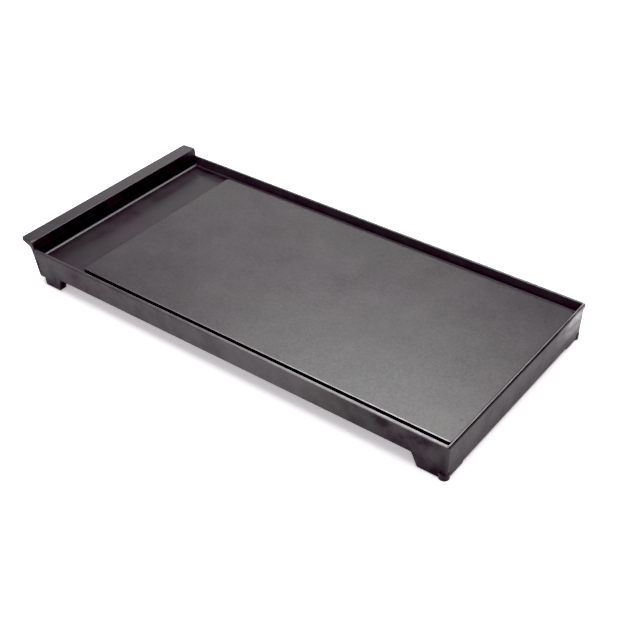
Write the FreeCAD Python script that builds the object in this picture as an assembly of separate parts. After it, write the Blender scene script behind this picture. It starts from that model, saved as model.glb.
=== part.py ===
import FreeCAD, Part

import math
import os

from FreeCAD import Vector

# Electric griddle, in millimetres: a cast tray on corner feet, a flat cooking plate that lifts
# out of it, a tubular heating element under the floor, and a socket in the back wall for a
# plug-in temperature control.
#
# The origin is on the table under the middle of the griddle. X runs along its length, from the
# handle flange at -X. Y runs from the front, -Y, to the back, +Y. Z is up.

# ---------------------------------------------------------------- driving dimensions

OVERALL_LENGTH = 525.0  # handle tip to the outside of the right rim
RIM_LENGTH = 508.0  # end wall to the outside of the right rim
RIM_DEPTH = 257.0
RIM_HEIGHT = 41.0
HANDLE_HEIGHT = 50.0
FLOOR_TOP = 29.0
FLOOR_THICKNESS = 4.0
PLATE_THICKNESS = 6.0
SKIRT_HEIGHT = 15.3  # table to the front skirt's lower edge
END_WALL_HEIGHT = 9.0  # table to the left end wall's lower edge
RIGHT_WALL_HEIGHT = 3.0  # table to the right wall's lower edge
FOOT_LIFT = 0.8  # table to the casting's own feet, which stand on rubber
ELEMENT_AXIS = 17.0  # height of the element, the contact pins and the sensor tube

# ---------------------------------------------------------------- tray walls

RIGHT_END = OVERALL_LENGTH / 2
HANDLE_TIP = -OVERALL_LENGTH / 2
END_WALL = RIGHT_END - RIM_LENGTH
LIP_PROUD = 1.0  # how far the rolled rim stands out from the wall
LIP_DEPTH = 2.7
RIM_WIDTH = 3.35
WALL_DRAFT = 1.5 / RIM_HEIGHT
SKIRT_WALL = 3.0
RIGHT_WALL = RIGHT_END - LIP_PROUD
HALF_DEPTH = RIM_DEPTH / 2 - LIP_PROUD
FLOOR_UNDERSIDE = FLOOR_TOP - FLOOR_THICKNESS
INNER_RIGHT = RIGHT_END - RIM_WIDTH
INNER_HALF_DEPTH = RIM_DEPTH / 2 - RIM_WIDTH
SKIRT_INSIDE = HALF_DEPTH - WALL_DRAFT * RIM_HEIGHT - SKIRT_WALL
CORNER_RADIUS = 3.5
PAST = 20.0  # how far a cutting tool runs past the metal

# The end wall leans outward and turns over into the handle flange.
END_WALL_FOOT = END_WALL + 2.5  # inner face at the floor
END_WALL_TOP = END_WALL + 0.5  # inner face at the flange's top
FLANGE_THICKNESS = 4.2
FLANGE_CORNER = 4.0
FLANGE_EDGE = 1.2
COVE_X = END_WALL - 4.5
COVE_Z = HANDLE_HEIGHT - 6.4
OUTER_TOP_X = END_WALL - 2.3  # outer face, just under the flange
OUTER_TOP_Z = HANDLE_HEIGHT - 12.5
OUTER_FOOT_X = END_WALL + 3.6  # outer face at its lower edge

INNER_DRAFT = 0.35  # how far the rim's inner faces lean out above the floor
INNER_CORNER = 3.0
FLOOR_FILLET = 1.8
LIP_EDGE = 0.9

# ---------------------------------------------------------------- feet

LEFT_FOOT_START = END_WALL + 11.6
LEFT_FOOT_TOP = LEFT_FOOT_START - 0.9  # where the foot meets the end wall's lower edge
LEFT_FOOT_LENGTH = 20.4
LEFT_FOOT_DEPTH = 9.0
LEFT_FOOT_DRAFT = 2.5
RIGHT_FOOT_START = RIGHT_END - 32.0
RIGHT_FOOT_SLANT = 6.4
RIGHT_FOOT_REACH = 30.0  # how far the right feet run along the right wall
FOOT_SIDE_DRAFT = 2.0  # slope of the shallow cut-out's ends under the right wall
BUTTON_RADIUS = 5.5
BUTTON_HEIGHT = 8.4
BUTTON_PROUD = 2.4
BUTTON_STEM_RADIUS = 2.0
BUTTON_STEM = 5.0
BUTTON_X = RIGHT_WALL - WALL_DRAFT * RIM_HEIGHT + BUTTON_PROUD - BUTTON_RADIUS
BUTTON_Y = HALF_DEPTH - WALL_DRAFT * RIM_HEIGHT + BUTTON_PROUD - BUTTON_RADIUS
BUTTON_EDGE = 1.2
BUTTON_LUG = 1.5  # metal left round a button's socket
PAD_MARGIN = 1.0
PAD_CORNER = 1.5
PAD_STEM_RADIUS = 1.6
PAD_STEM = 4.0
PRESS_GAP = 0.05  # drawn gap round anything pushed or screwed into a hole

# ---------------------------------------------------------------- cooking plate

PLATE_TOP = FLOOR_TOP + PLATE_THICKNESS
PLATE_LEFT = END_WALL + 61.0
PLATE_RIGHT = RIGHT_END - 6.3
PLATE_HALF_DEPTH = 116.8
PLATE_CORNER = 3.0
PLATE_EDGE = 0.6
PLATE_UNDER_EDGE = 1.2  # chamfer that clears the tray's floor fillet
DOWEL_RADIUS = 3.0
DOWEL_STAND = 3.5  # height above the floor
DOWEL_SEAT = 7.0  # depth below the floor's top
DOWEL_CLEARANCE = 0.4
DOWEL_EDGE = 0.8
DOWEL_X = (PLATE_LEFT + 18.5, PLATE_RIGHT - 12.0)
DOWEL_Y = 85.5

# ---------------------------------------------------------------- heating element

SHEATH_RADIUS = 3.25
SHEATH_BORE = 2.75
COIL_RADIUS = 1.25
FILL_GAP = 0.05
LOOP_LEFT = PLATE_LEFT + 34.5
LOOP_RIGHT = PLATE_RIGHT - 34.0
LOOP_HALF_DEPTH = 62.0
LOOP_CORNER = 30.0
SOCKET_X = 150.0
PIN_SPACING = 32.0
LEAD_BEND = 14.0
LEAD_END = 98.0
PIN_INNER_END = LOOP_HALF_DEPTH + LEAD_BEND
PIN_RADIUS = 2.25
PIN_TIP = 121.0
PIN_END_ROUND = 1.4
PIN_NECK_RADIUS = 1.9  # where a pin passes through the shroud's back wall
SEAL_SPIGOT = 5.0
BED_HALF_WIDTH = 5.5

CLAMP_SCREW_OFFSET = 11.5
CLAMP_LENGTH = 34.0
CLAMP_WIDTH = 12.0
CLAMP_THICKNESS = 1.5
CLAMP_PITCH = 90.0
CLAMP_START = LOOP_LEFT + 40.0

# ---------------------------------------------------------------- sensor tube and socket

SENSOR_RADIUS = 3.8
SENSOR_BORE = 3.2
SENSOR_END = 40.0
SENSOR_CLIP_Y = 50.0
SHROUD_BACK = 101.0
SHROUD_BACK_WALL = 2.0
SHROUD_MOUTH = 126.2
SHROUD_HALF_WIDTH = 28.0
SHROUD_WALL = 3.0
SHROUD_BOTTOM = 8.7
CAVITY_HALF_HEIGHT = 6.5
EAR_OFFSET = SHROUD_HALF_WIDTH + 5.0
EAR_RADIUS = 5.0
EAR_Y = 112.0
EAR_BOTTOM = 13.0
EAR_THICKNESS = 3.0

# ---------------------------------------------------------------- shield, cover and plate

SHIELD_BOTTOM = 9.2
SHIELD_THICKNESS = 0.6
SHIELD_FLANGE = 3.0
SHIELD_HALF_DEPTH = 84.0
SHIELD_LEFT = LOOP_LEFT - 20.0
SHIELD_RIGHT = LOOP_RIGHT + 22.0
SHIELD_POST_BOTTOM = 16.0
SHIELD_POST_Y = 28.0
SHIELD_POST_X = (LOOP_LEFT + 40.0, (LOOP_LEFT + LOOP_RIGHT) / 2, LOOP_RIGHT - 22.0)

COVER_BOTTOM = 5.6
COVER_THICKNESS = 0.8
COVER_FLANGE = 5.0
COVER_LEFT = PLATE_LEFT - 13.5
COVER_RIGHT = PLATE_RIGHT - 4.0
COVER_HALF_DEPTH = 111.0
COVER_CORNER = 10.0
COVER_POST_X = (COVER_LEFT + 12.0, (COVER_LEFT + COVER_RIGHT) / 2, COVER_RIGHT - 12.0)
COVER_POST_Y = 101.0
NOTCH_HALF_WIDTH = 42.0
NOTCH_Y = 97.0
VENT_LENGTH = 40.0
VENT_WIDTH = 3.0
VENT_PITCH = 9.0
VENT_COUNT = 7
VENT_CENTRES = ((-20.0, 0.0), (100.0, 0.0))

LABEL_THICKNESS = 0.6
LABEL_CENTRE = (-118.0, 0.0)
LABEL_HALF_LENGTH = 30.0
LABEL_HALF_WIDTH = 18.0
LABEL_RIVET_INSET = 3.5
RIVET_RADIUS = 1.2
RIVET_HEAD_RADIUS = 2.2
RIVET_HEAD = 0.6

POST_RADIUS = 4.5
SCREW_RADIUS = 1.9  # M4 screws throughout
SCREW_HEAD_RADIUS = 3.5
SCREW_HEAD = 1.8
RECESS_LENGTH = 3.6
RECESS_WIDTH = 0.9
RECESS_DEPTH = 1.0
CLEARANCE_HOLE = 2.25
CLAMP_SCREW_LENGTH = 8.0
SHIELD_SCREW_LENGTH = 13.0
COVER_SCREW_LENGTH = 12.0
EAR_SCREW_LENGTH = 9.0
ROOT = 0.5  # how far ribs and posts are sunk into the floor they grow from


# ---------------------------------------------------------------- shape helpers


def block(x0, x1, y0, y1, z0, z1):
    return Part.makeBox(x1 - x0, y1 - y0, z1 - z0, Vector(x0, y0, z0))


def post(x, y, z0, z1, radius):
    return Part.makeCylinder(radius, z1 - z0, Vector(x, y, z0))


def rod_y(x, z, y0, y1, radius):
    return Part.makeCylinder(radius, y1 - y0, Vector(x, y0, z), Vector(0, 1, 0))


def fuse(shapes):
    """One solid made of shapes that meet."""
    return shapes[0].multiFuse(shapes[1:]).removeSplitter()


def arc_at_corner(before, corner, after, radius):
    """The start, middle and end of the arc that rounds a corner to a radius."""
    to_before = (before - corner).normalize()
    to_after = (after - corner).normalize()
    half_angle = to_before.getAngle(to_after) / 2
    reach = radius / math.tan(half_angle)
    bisector = (to_before + to_after).normalize()
    centre_distance = radius / math.sin(half_angle)
    start = corner + to_before * reach
    middle = corner + bisector * (centre_distance - radius)
    end = corner + to_after * reach
    return start, middle, end


def rounded_path(corners, closed):
    """A wire of straight runs and tangent arcs through (point, radius) corners."""
    count = len(corners)
    stations = []
    for index, (point, radius) in enumerate(corners):
        is_end = not closed and index in (0, count - 1)
        if is_end or radius == 0:
            stations.append((point, None, point))
            continue
        before = corners[index - 1][0]
        after = corners[(index + 1) % count][0]
        stations.append(arc_at_corner(before, point, after, radius))
    edges = []
    for index, (start, middle, end) in enumerate(stations):
        if middle is not None:
            edges.append(Part.Arc(start, middle, end).toShape())
        if closed or index < count - 1:
            following = stations[(index + 1) % count][0]
            if end.distanceToPoint(following) > 1e-6:
                edges.append(Part.LineSegment(end, following).toShape())
    return Part.Wire(edges)


def prism_y(outline, y0, y1):
    """Extrude an outline of (x, z, corner radius) along Y."""
    corners = [(Vector(x, y0, z), radius) for x, z, radius in outline]
    return Part.Face(rounded_path(corners, True)).extrude(Vector(0, y1 - y0, 0))


def prism_x(outline, x0, x1):
    """Extrude an outline of (y, z, corner radius) along X."""
    corners = [(Vector(x0, y, z), radius) for y, z, radius in outline]
    return Part.Face(rounded_path(corners, True)).extrude(Vector(x1 - x0, 0, 0))


def rounded_block(x0, x1, y0, y1, z0, z1, radius):
    """A block with rounded upright edges."""
    plan = ((x0, y0), (x1, y0), (x1, y1), (x0, y1))
    corners = [(Vector(x, y, z0), radius) for x, y in plan]
    return Part.Face(rounded_path(corners, True)).extrude(Vector(0, 0, z1 - z0))


def round_edges(shape, radius, chosen):
    """Fillet the edges whose box passes a test."""
    edges = [edge for edge in shape.Edges if chosen(edge.BoundBox)]
    return shape.makeFillet(radius, edges)


def is_upright(box):
    return box.ZLength > 5 * max(box.XLength, box.YLength)


def screw(x, y, seat, length):
    """A pan-head screw put in from below, its head's flat face at the seat height."""
    head = post(x, y, seat - SCREW_HEAD, seat, SCREW_HEAD_RADIUS)
    head = round_edges(head, SCREW_HEAD * 0.6, lambda box: box.ZMax < seat - SCREW_HEAD / 2)
    shank = post(x, y, seat, seat + length, SCREW_RADIUS)
    recess_low = seat - SCREW_HEAD - 1
    recess_top = seat - SCREW_HEAD + RECESS_DEPTH
    half_length = RECESS_LENGTH / 2
    half_width = RECESS_WIDTH / 2
    slot_a = block(x - half_length, x + half_length, y - half_width, y + half_width, recess_low, recess_top)
    slot_b = block(x - half_width, x + half_width, y - half_length, y + half_length, recess_low, recess_top)
    return head.fuse(shank).cut(slot_a).cut(slot_b).removeSplitter()


def screw_hole(x, y, z0, z1):
    return post(x, y, z0, z1, SCREW_RADIUS + PRESS_GAP)


# ---------------------------------------------------------------- places that repeat


def clamp_places():
    """Each element clamp's centre, and True where its bar lies along X."""
    long_leg = [CLAMP_START + CLAMP_PITCH * step for step in range(4)]
    places = [(x, -LOOP_HALF_DEPTH, False) for x in long_leg]
    places += [(x, LOOP_HALF_DEPTH, False) for x in long_leg[:3]]
    places += [(x, 0.0, True) for x in (LOOP_LEFT, LOOP_RIGHT)]
    return places


def clamp_screw_places():
    places = []
    for x, y, along_x in clamp_places():
        for side in (-CLAMP_SCREW_OFFSET, CLAMP_SCREW_OFFSET):
            places.append((x + side, y) if along_x else (x, y + side))
    return places


def sensor_screw_places():
    return [(SOCKET_X + side, SENSOR_CLIP_Y) for side in (-CLAMP_SCREW_OFFSET, CLAMP_SCREW_OFFSET)]


def shield_places():
    return [(x, y) for x in SHIELD_POST_X for y in (-SHIELD_POST_Y, SHIELD_POST_Y)]


def cover_places():
    return [(x, y) for x in COVER_POST_X for y in (-COVER_POST_Y, COVER_POST_Y)]


def dowel_places():
    return [(x, y) for x in DOWEL_X for y in (-DOWEL_Y, DOWEL_Y)]


def ear_places():
    return [(SOCKET_X + side, EAR_Y) for side in (-EAR_OFFSET, EAR_OFFSET)]


def pin_places():
    return [SOCKET_X - PIN_SPACING / 2, SOCKET_X + PIN_SPACING / 2]


def label_rivet_places():
    x_reach = LABEL_HALF_LENGTH - LABEL_RIVET_INSET
    return [(LABEL_CENTRE[0] + side, LABEL_CENTRE[1]) for side in (-x_reach, x_reach)]


def left_pad_centre(side):
    x = LEFT_FOOT_START + LEFT_FOOT_LENGTH / 2
    y = HALF_DEPTH - WALL_DRAFT * RIM_HEIGHT - LEFT_FOOT_DEPTH / 2
    return x, side * y


# ---------------------------------------------------------------- element path


def element_path(end_y):
    """The element's centre line: a loop under the plate, both ends at the socket."""
    left_pin, right_pin = pin_places()
    plan = (
        (right_pin, end_y, 0),
        (right_pin, LOOP_HALF_DEPTH, LEAD_BEND),
        (LOOP_RIGHT, LOOP_HALF_DEPTH, LOOP_CORNER),
        (LOOP_RIGHT, -LOOP_HALF_DEPTH, LOOP_CORNER),
        (LOOP_LEFT, -LOOP_HALF_DEPTH, LOOP_CORNER),
        (LOOP_LEFT, LOOP_HALF_DEPTH, LOOP_CORNER),
        (left_pin, LOOP_HALF_DEPTH, LEAD_BEND),
        (left_pin, end_y, 0),
    )
    return rounded_path([(Vector(x, y, ELEMENT_AXIS), radius) for x, y, radius in plan], False)


def swept_round(path, radius):
    """A round bar along a path that starts along Y."""
    start = path.OrderedVertexes[0].Point
    ring = Part.Wire(Part.makeCircle(radius, start, Vector(0, 1, 0)))
    return path.makePipeShell([ring], True, False)


def swept_bed(path):
    """The cast rib that follows the element, from its axis up to the floor."""
    start = path.OrderedVertexes[0].Point
    low = start.z
    high = FLOOR_UNDERSIDE + ROOT
    section = (
        Vector(start.x - BED_HALF_WIDTH, start.y, low),
        Vector(start.x + BED_HALF_WIDTH, start.y, low),
        Vector(start.x + BED_HALF_WIDTH, start.y, high),
        Vector(start.x - BED_HALF_WIDTH, start.y, high),
    )
    return path.makePipeShell([Part.makePolygon(section + section[:1])], True, False)


# ---------------------------------------------------------------- tray casting


def tray_envelope():
    """The outside of walls, rim and handle flange, before any hollow is cut."""
    right_foot = RIGHT_WALL - WALL_DRAFT * (RIM_HEIGHT - FOOT_LIFT)
    share = (RIM_HEIGHT - FLOOR_TOP) / (HANDLE_HEIGHT - FLOOR_TOP)
    shoulder = END_WALL_FOOT + share * (END_WALL_TOP - END_WALL_FOOT)
    side = (
        (right_foot, FOOT_LIFT, 0),
        (RIGHT_WALL, RIM_HEIGHT, 0),
        (shoulder, RIM_HEIGHT, 0),
        (END_WALL_TOP, HANDLE_HEIGHT, 0.8),
        (HANDLE_TIP, HANDLE_HEIGHT, FLANGE_EDGE),
        (HANDLE_TIP, HANDLE_HEIGHT - FLANGE_THICKNESS, FLANGE_EDGE),
        (COVE_X, COVE_Z, 4.0),
        (OUTER_TOP_X, OUTER_TOP_Z, 8.0),
        (OUTER_FOOT_X, END_WALL_HEIGHT, 3.0),
        (LEFT_FOOT_TOP, END_WALL_HEIGHT, 1.0),
        (LEFT_FOOT_START, FOOT_LIFT, 0),
    )
    low = HALF_DEPTH - WALL_DRAFT * RIM_HEIGHT
    high = HALF_DEPTH + WALL_DRAFT * (HANDLE_HEIGHT - RIM_HEIGHT)
    front = ((-low, 0, 0), (low, 0, 0), (high, HANDLE_HEIGHT, 0), (-high, HANDLE_HEIGHT, 0))
    solid = prism_y(side, -RIM_DEPTH, RIM_DEPTH).common(
        prism_x(front, -OVERALL_LENGTH, OVERALL_LENGTH)
    )
    solid = round_edges(solid, CORNER_RADIUS, lambda box: is_upright(box) and box.XMin > RIGHT_WALL - 5)
    plan = rounded_block(HANDLE_TIP, RIGHT_END + PAST, -high, high, 0, HANDLE_HEIGHT, FLANGE_CORNER)
    return solid.common(plan)


def rim_lip():
    """The rolled edge that stands proud of the front, right and back walls."""
    low = RIM_HEIGHT - LIP_DEPTH
    half = RIM_DEPTH / 2
    lip = block(END_WALL - 1.0, RIGHT_END, -half, half, low, RIM_HEIGHT)
    lip = round_edges(
        lip,
        CORNER_RADIUS + LIP_PROUD,
        lambda box: box.ZLength > LIP_DEPTH / 2 and box.XMin > RIGHT_WALL,
    )
    return round_edges(lip, LIP_EDGE, lambda box: box.ZLength < 0.01 and box.XMax > END_WALL)


def tray_hollow():
    """The space inside the walls, above the floor."""
    top = HANDLE_HEIGHT + PAST
    lean = (END_WALL_FOOT - END_WALL_TOP) / (HANDLE_HEIGHT - FLOOR_TOP)
    draft = INNER_DRAFT / (RIM_HEIGHT - FLOOR_TOP)
    rise = top - FLOOR_TOP
    floor_right = INNER_RIGHT - INNER_DRAFT
    floor_half = INNER_HALF_DEPTH - INNER_DRAFT
    side = (
        (END_WALL_FOOT, FLOOR_TOP, 0),
        (floor_right, FLOOR_TOP, 0),
        (floor_right + draft * rise, top, 0),
        (END_WALL_FOOT - lean * rise, top, 0),
    )
    top_half = floor_half + draft * rise
    front = (
        (-floor_half, FLOOR_TOP, 0),
        (floor_half, FLOOR_TOP, 0),
        (top_half, top, 0),
        (-top_half, top, 0),
    )
    hollow = prism_y(side, -RIM_DEPTH, RIM_DEPTH).common(
        prism_x(front, -OVERALL_LENGTH, OVERALL_LENGTH)
    )
    hollow = round_edges(hollow, INNER_CORNER, is_upright)
    return round_edges(hollow, FLOOR_FILLET, lambda box: box.ZMax < FLOOR_TOP + 0.01)


def underside_hollow():
    """The space inside the skirt, below the floor."""
    wall_foot = RIGHT_WALL - WALL_DRAFT * RIM_HEIGHT
    return rounded_block(
        END_WALL_FOOT + SKIRT_WALL,
        wall_foot - SKIRT_WALL,
        -SKIRT_INSIDE,
        SKIRT_INSIDE,
        FOOT_LIFT - PAST,
        FLOOR_UNDERSIDE,
        CORNER_RADIUS,
    )


def skirt_opening():
    """The long cut-out between the feet, through the front and back skirts."""
    left = LEFT_FOOT_START + LEFT_FOOT_LENGTH
    left_top = left + LEFT_FOOT_DRAFT
    right_top = RIGHT_FOOT_START - RIGHT_FOOT_SLANT
    outline = (
        (left, FOOT_LIFT, 0),
        (left_top, SKIRT_HEIGHT, 1.0),
        (right_top, SKIRT_HEIGHT, 3.0),
        (RIGHT_FOOT_START, FOOT_LIFT, 0),
        (RIGHT_FOOT_START, FOOT_LIFT - PAST, 0),
        (left, FOOT_LIFT - PAST, 0),
    )
    return prism_y(outline, -RIM_DEPTH, RIM_DEPTH)


def right_wall_opening():
    """The shallow cut-out between the feet, under the right wall."""
    half_top = HALF_DEPTH - RIGHT_FOOT_REACH
    half_foot = half_top + FOOT_SIDE_DRAFT
    outline = (
        (-half_foot, FOOT_LIFT, 0),
        (-half_top, RIGHT_WALL_HEIGHT, 1.0),
        (half_top, RIGHT_WALL_HEIGHT, 1.0),
        (half_foot, FOOT_LIFT, 0),
        (half_foot, FOOT_LIFT - PAST, 0),
        (-half_foot, FOOT_LIFT - PAST, 0),
    )
    return prism_x(outline, RIGHT_WALL - PAST, RIGHT_WALL + PAST)


def foot_lugs():
    """Solid corners behind the skirt that carry the rubber feet."""
    left = LEFT_FOOT_START
    right = left + LEFT_FOOT_LENGTH
    outline = (
        (left, FOOT_LIFT, 0),
        (LEFT_FOOT_TOP, END_WALL_HEIGHT, 0),
        (LEFT_FOOT_TOP, FLOOR_UNDERSIDE + ROOT, 0),
        (right + LEFT_FOOT_DRAFT, FLOOR_UNDERSIDE + ROOT, 0),
        (right + LEFT_FOOT_DRAFT, SKIRT_HEIGHT, 0),
        (right, FOOT_LIFT, 0),
    )
    y_out = HALF_DEPTH
    y_in = HALF_DEPTH - WALL_DRAFT * RIM_HEIGHT - LEFT_FOOT_DEPTH
    corner_x = BUTTON_X - BUTTON_RADIUS - BUTTON_LUG
    corner_y = BUTTON_Y - BUTTON_RADIUS - BUTTON_LUG
    lugs = [prism_y(outline, y_in, y_out), prism_y(outline, -y_out, -y_in)]
    lugs.append(block(corner_x, RIGHT_WALL, corner_y, y_out, FOOT_LIFT, FLOOR_UNDERSIDE + ROOT))
    lugs.append(block(corner_x, RIGHT_WALL, -y_out, -corner_y, FOOT_LIFT, FLOOR_UNDERSIDE + ROOT))
    return lugs


def floor_posts():
    """Cast posts under the floor that take the screws."""
    top = FLOOR_UNDERSIDE + ROOT
    clamp_seat = ELEMENT_AXIS - SHEATH_RADIUS
    sensor_seat = ELEMENT_AXIS - SENSOR_RADIUS
    posts = [post(x, y, clamp_seat, top, POST_RADIUS - 0.5) for x, y in clamp_screw_places()]
    posts += [post(x, y, sensor_seat, top, POST_RADIUS - 0.5) for x, y in sensor_screw_places()]
    posts += [post(x, y, SHIELD_POST_BOTTOM, top, POST_RADIUS) for x, y in shield_places()]
    posts += [post(x, y, COVER_BOTTOM + COVER_THICKNESS, top, POST_RADIUS) for x, y in cover_places()]
    posts += [post(x, y, EAR_BOTTOM + EAR_THICKNESS, top, POST_RADIUS) for x, y in ear_places()]
    posts += [post(x, y, FLOOR_TOP - DOWEL_SEAT - 1, top, 2 * DOWEL_RADIUS) for x, y in dowel_places()]
    return posts


def sensor_bed():
    y0 = SENSOR_END - 4
    return block(
        SOCKET_X - BED_HALF_WIDTH,
        SOCKET_X + BED_HALF_WIDTH,
        y0,
        SHROUD_BACK - 1,
        ELEMENT_AXIS,
        FLOOR_UNDERSIDE + ROOT,
    )


def tray_holes():
    """Everything drilled or cored: screw holes, dowel holes, foot sockets and the socket's port."""
    deep = 8.0
    clamp_seat = ELEMENT_AXIS - SHEATH_RADIUS
    sensor_seat = ELEMENT_AXIS - SENSOR_RADIUS
    holes = [screw_hole(x, y, clamp_seat - 1, clamp_seat + deep) for x, y in clamp_screw_places()]
    holes += [screw_hole(x, y, sensor_seat - 1, sensor_seat + deep) for x, y in sensor_screw_places()]
    holes += [screw_hole(x, y, SHIELD_POST_BOTTOM - 1, SHIELD_POST_BOTTOM + deep) for x, y in shield_places()]
    holes += [screw_hole(x, y, COVER_BOTTOM, COVER_BOTTOM + 2 * deep) for x, y in cover_places()]
    holes += [screw_hole(x, y, EAR_BOTTOM, EAR_BOTTOM + EAR_THICKNESS + deep) for x, y in ear_places()]
    for x, y in dowel_places():
        holes.append(post(x, y, FLOOR_TOP - DOWEL_SEAT, FLOOR_TOP + 1, DOWEL_RADIUS + PRESS_GAP))
    for side in (-1, 1):
        x, y = left_pad_centre(side)
        holes.append(post(x, y, 0, FOOT_LIFT + PAD_STEM + 1, PAD_STEM_RADIUS + PRESS_GAP))
        y = side * BUTTON_Y
        stem_top = BUTTON_HEIGHT + BUTTON_STEM + 1
        holes.append(post(BUTTON_X, y, -1, BUTTON_HEIGHT + 0.1, BUTTON_RADIUS + 2 * PRESS_GAP))
        holes.append(post(BUTTON_X, y, -1, stem_top, BUTTON_STEM_RADIUS + PRESS_GAP))
    port = SHROUD_HALF_WIDTH + 0.5
    holes.append(
        block(
            SOCKET_X - port,
            SOCKET_X + port,
            HALF_DEPTH - 10,
            HALF_DEPTH + PAST,
            -PAST,
            FLOOR_UNDERSIDE,
        )
    )
    return holes


def tray_casting():
    envelope = tray_envelope()
    tray = envelope.fuse(rim_lip())
    tray = tray.cut(tray_hollow())
    tray = tray.cut(underside_hollow())
    lugs = [lug.common(envelope) for lug in foot_lugs()]
    path = element_path(LEAD_END)
    tray = fuse([tray, *lugs, *floor_posts(), swept_bed(path), sensor_bed()])
    tray = tray.cut(skirt_opening_tools())
    tray = tray.cut(swept_round(element_path(LEAD_END + 2), SHEATH_RADIUS + PRESS_GAP))
    sensor_groove = rod_y(SOCKET_X, ELEMENT_AXIS, SENSOR_END - 1, SHROUD_BACK, SENSOR_RADIUS + PRESS_GAP)
    tray = tray.cut([sensor_groove, *tray_holes()])
    return tray.removeSplitter()


def skirt_opening_tools():
    """The skirt cut-outs, kept clear of the lugs' and posts' own shapes."""
    opening = skirt_opening()
    inner = block(-OVERALL_LENGTH, OVERALL_LENGTH, -SKIRT_INSIDE, SKIRT_INSIDE, -RIM_DEPTH, RIM_DEPTH)
    return [opening.cut(inner), right_wall_opening()]


# ---------------------------------------------------------------- cooking plate


def cooking_plate():
    plate = rounded_block(
        PLATE_LEFT,
        PLATE_RIGHT,
        -PLATE_HALF_DEPTH,
        PLATE_HALF_DEPTH,
        FLOOR_TOP,
        PLATE_TOP,
        PLATE_CORNER,
    )
    plate = round_edges(plate, PLATE_EDGE, lambda box: box.ZMin > PLATE_TOP - 0.01)
    under_edges = [edge for edge in plate.Edges if edge.BoundBox.ZMax < FLOOR_TOP + 0.01]
    plate = plate.makeChamfer(PLATE_UNDER_EDGE, under_edges)
    sockets = []
    for x, y in dowel_places():
        radius = DOWEL_RADIUS + DOWEL_CLEARANCE
        sockets.append(post(x, y, FLOOR_TOP - 1, FLOOR_TOP + DOWEL_STAND + 0.5, radius))
    return plate.cut(sockets)


def plate_locating_pins():
    pins = []
    for x, y in dowel_places():
        pin = post(x, y, FLOOR_TOP - DOWEL_SEAT, FLOOR_TOP + DOWEL_STAND, DOWEL_RADIUS)
        pins.append(round_edges(pin, DOWEL_EDGE, lambda box: box.ZMin > FLOOR_TOP))
    return Part.makeCompound(pins)


# ---------------------------------------------------------------- heating element


def element_sheath():
    path = element_path(LEAD_END)
    return swept_round(path, SHEATH_RADIUS).cut(swept_round(path, SHEATH_BORE))


def element_magnesia():
    path = element_path(LEAD_END - SEAL_SPIGOT)
    outside = swept_round(path, SHEATH_BORE - FILL_GAP)
    return outside.cut(swept_round(path, COIL_RADIUS + FILL_GAP))


def element_coil():
    return swept_round(element_path(PIN_INNER_END + 1.0), COIL_RADIUS)


def terminal_pins():
    """A thin stud inside the sheath, a neck through the shroud and a stout rounded contact."""
    neck_end = SHROUD_BACK + SHROUD_BACK_WALL + 0.2
    pins = []
    for x in pin_places():
        stud = rod_y(x, ELEMENT_AXIS, PIN_INNER_END + 1.0, SHROUD_BACK, COIL_RADIUS)
        neck = rod_y(x, ELEMENT_AXIS, SHROUD_BACK, neck_end, PIN_NECK_RADIUS)
        contact = rod_y(x, ELEMENT_AXIS, neck_end, PIN_TIP, PIN_RADIUS)
        contact = round_edges(contact, PIN_END_ROUND, lambda box: box.YMin > PIN_TIP - 0.01)
        pins.append(fuse([stud, neck, contact]))
    return Part.makeCompound(pins)


def terminal_seals():
    """Ceramic bushes with a spigot inside the sheath and a flange against its end."""
    seals = []
    for x in pin_places():
        spigot = rod_y(x, ELEMENT_AXIS, LEAD_END - SEAL_SPIGOT, LEAD_END, SHEATH_BORE - FILL_GAP)
        flange = rod_y(x, ELEMENT_AXIS, LEAD_END, SHROUD_BACK, SHEATH_RADIUS)
        bore_start = LEAD_END - SEAL_SPIGOT - 1
        bore = rod_y(x, ELEMENT_AXIS, bore_start, SHROUD_BACK + 1, COIL_RADIUS + FILL_GAP)
        seals.append(spigot.fuse(flange).cut(bore))
    return Part.makeCompound(seals)


def clamp_bar(x, y, top, along_x):
    """A flat bar with rounded ends and two screw holes, pressed up against a tube."""
    half_x = CLAMP_LENGTH / 2 if along_x else CLAMP_WIDTH / 2
    half_y = CLAMP_WIDTH / 2 if along_x else CLAMP_LENGTH / 2
    low = top - CLAMP_THICKNESS
    bar = rounded_block(x - half_x, x + half_x, y - half_y, y + half_y, low, top, CLAMP_WIDTH / 2 - 0.5)
    for side in (-CLAMP_SCREW_OFFSET, CLAMP_SCREW_OFFSET):
        hole_x = x + side if along_x else x
        hole_y = y if along_x else y + side
        bar = bar.cut(post(hole_x, hole_y, low - 1, top + 1, CLEARANCE_HOLE))
    return bar


def element_clamps():
    top = ELEMENT_AXIS - SHEATH_RADIUS
    return Part.makeCompound([clamp_bar(x, y, top, along_x) for x, y, along_x in clamp_places()])


def element_clamp_screws():
    seat = ELEMENT_AXIS - SHEATH_RADIUS - CLAMP_THICKNESS
    return Part.makeCompound([screw(x, y, seat, CLAMP_SCREW_LENGTH) for x, y in clamp_screw_places()])


# ---------------------------------------------------------------- sensor tube and socket


def sensor_tube():
    """A blind tube, open towards the socket, that takes the control's probe."""
    mouth = SHROUD_BACK + SHROUD_BACK_WALL
    tube = rod_y(SOCKET_X, ELEMENT_AXIS, SENSOR_END, mouth, SENSOR_RADIUS)
    return tube.cut(rod_y(SOCKET_X, ELEMENT_AXIS, SENSOR_END + 1.0, mouth + 1, SENSOR_BORE))


def sensor_tube_clip():
    return clamp_bar(SOCKET_X, SENSOR_CLIP_Y, ELEMENT_AXIS - SENSOR_RADIUS, True)


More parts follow.
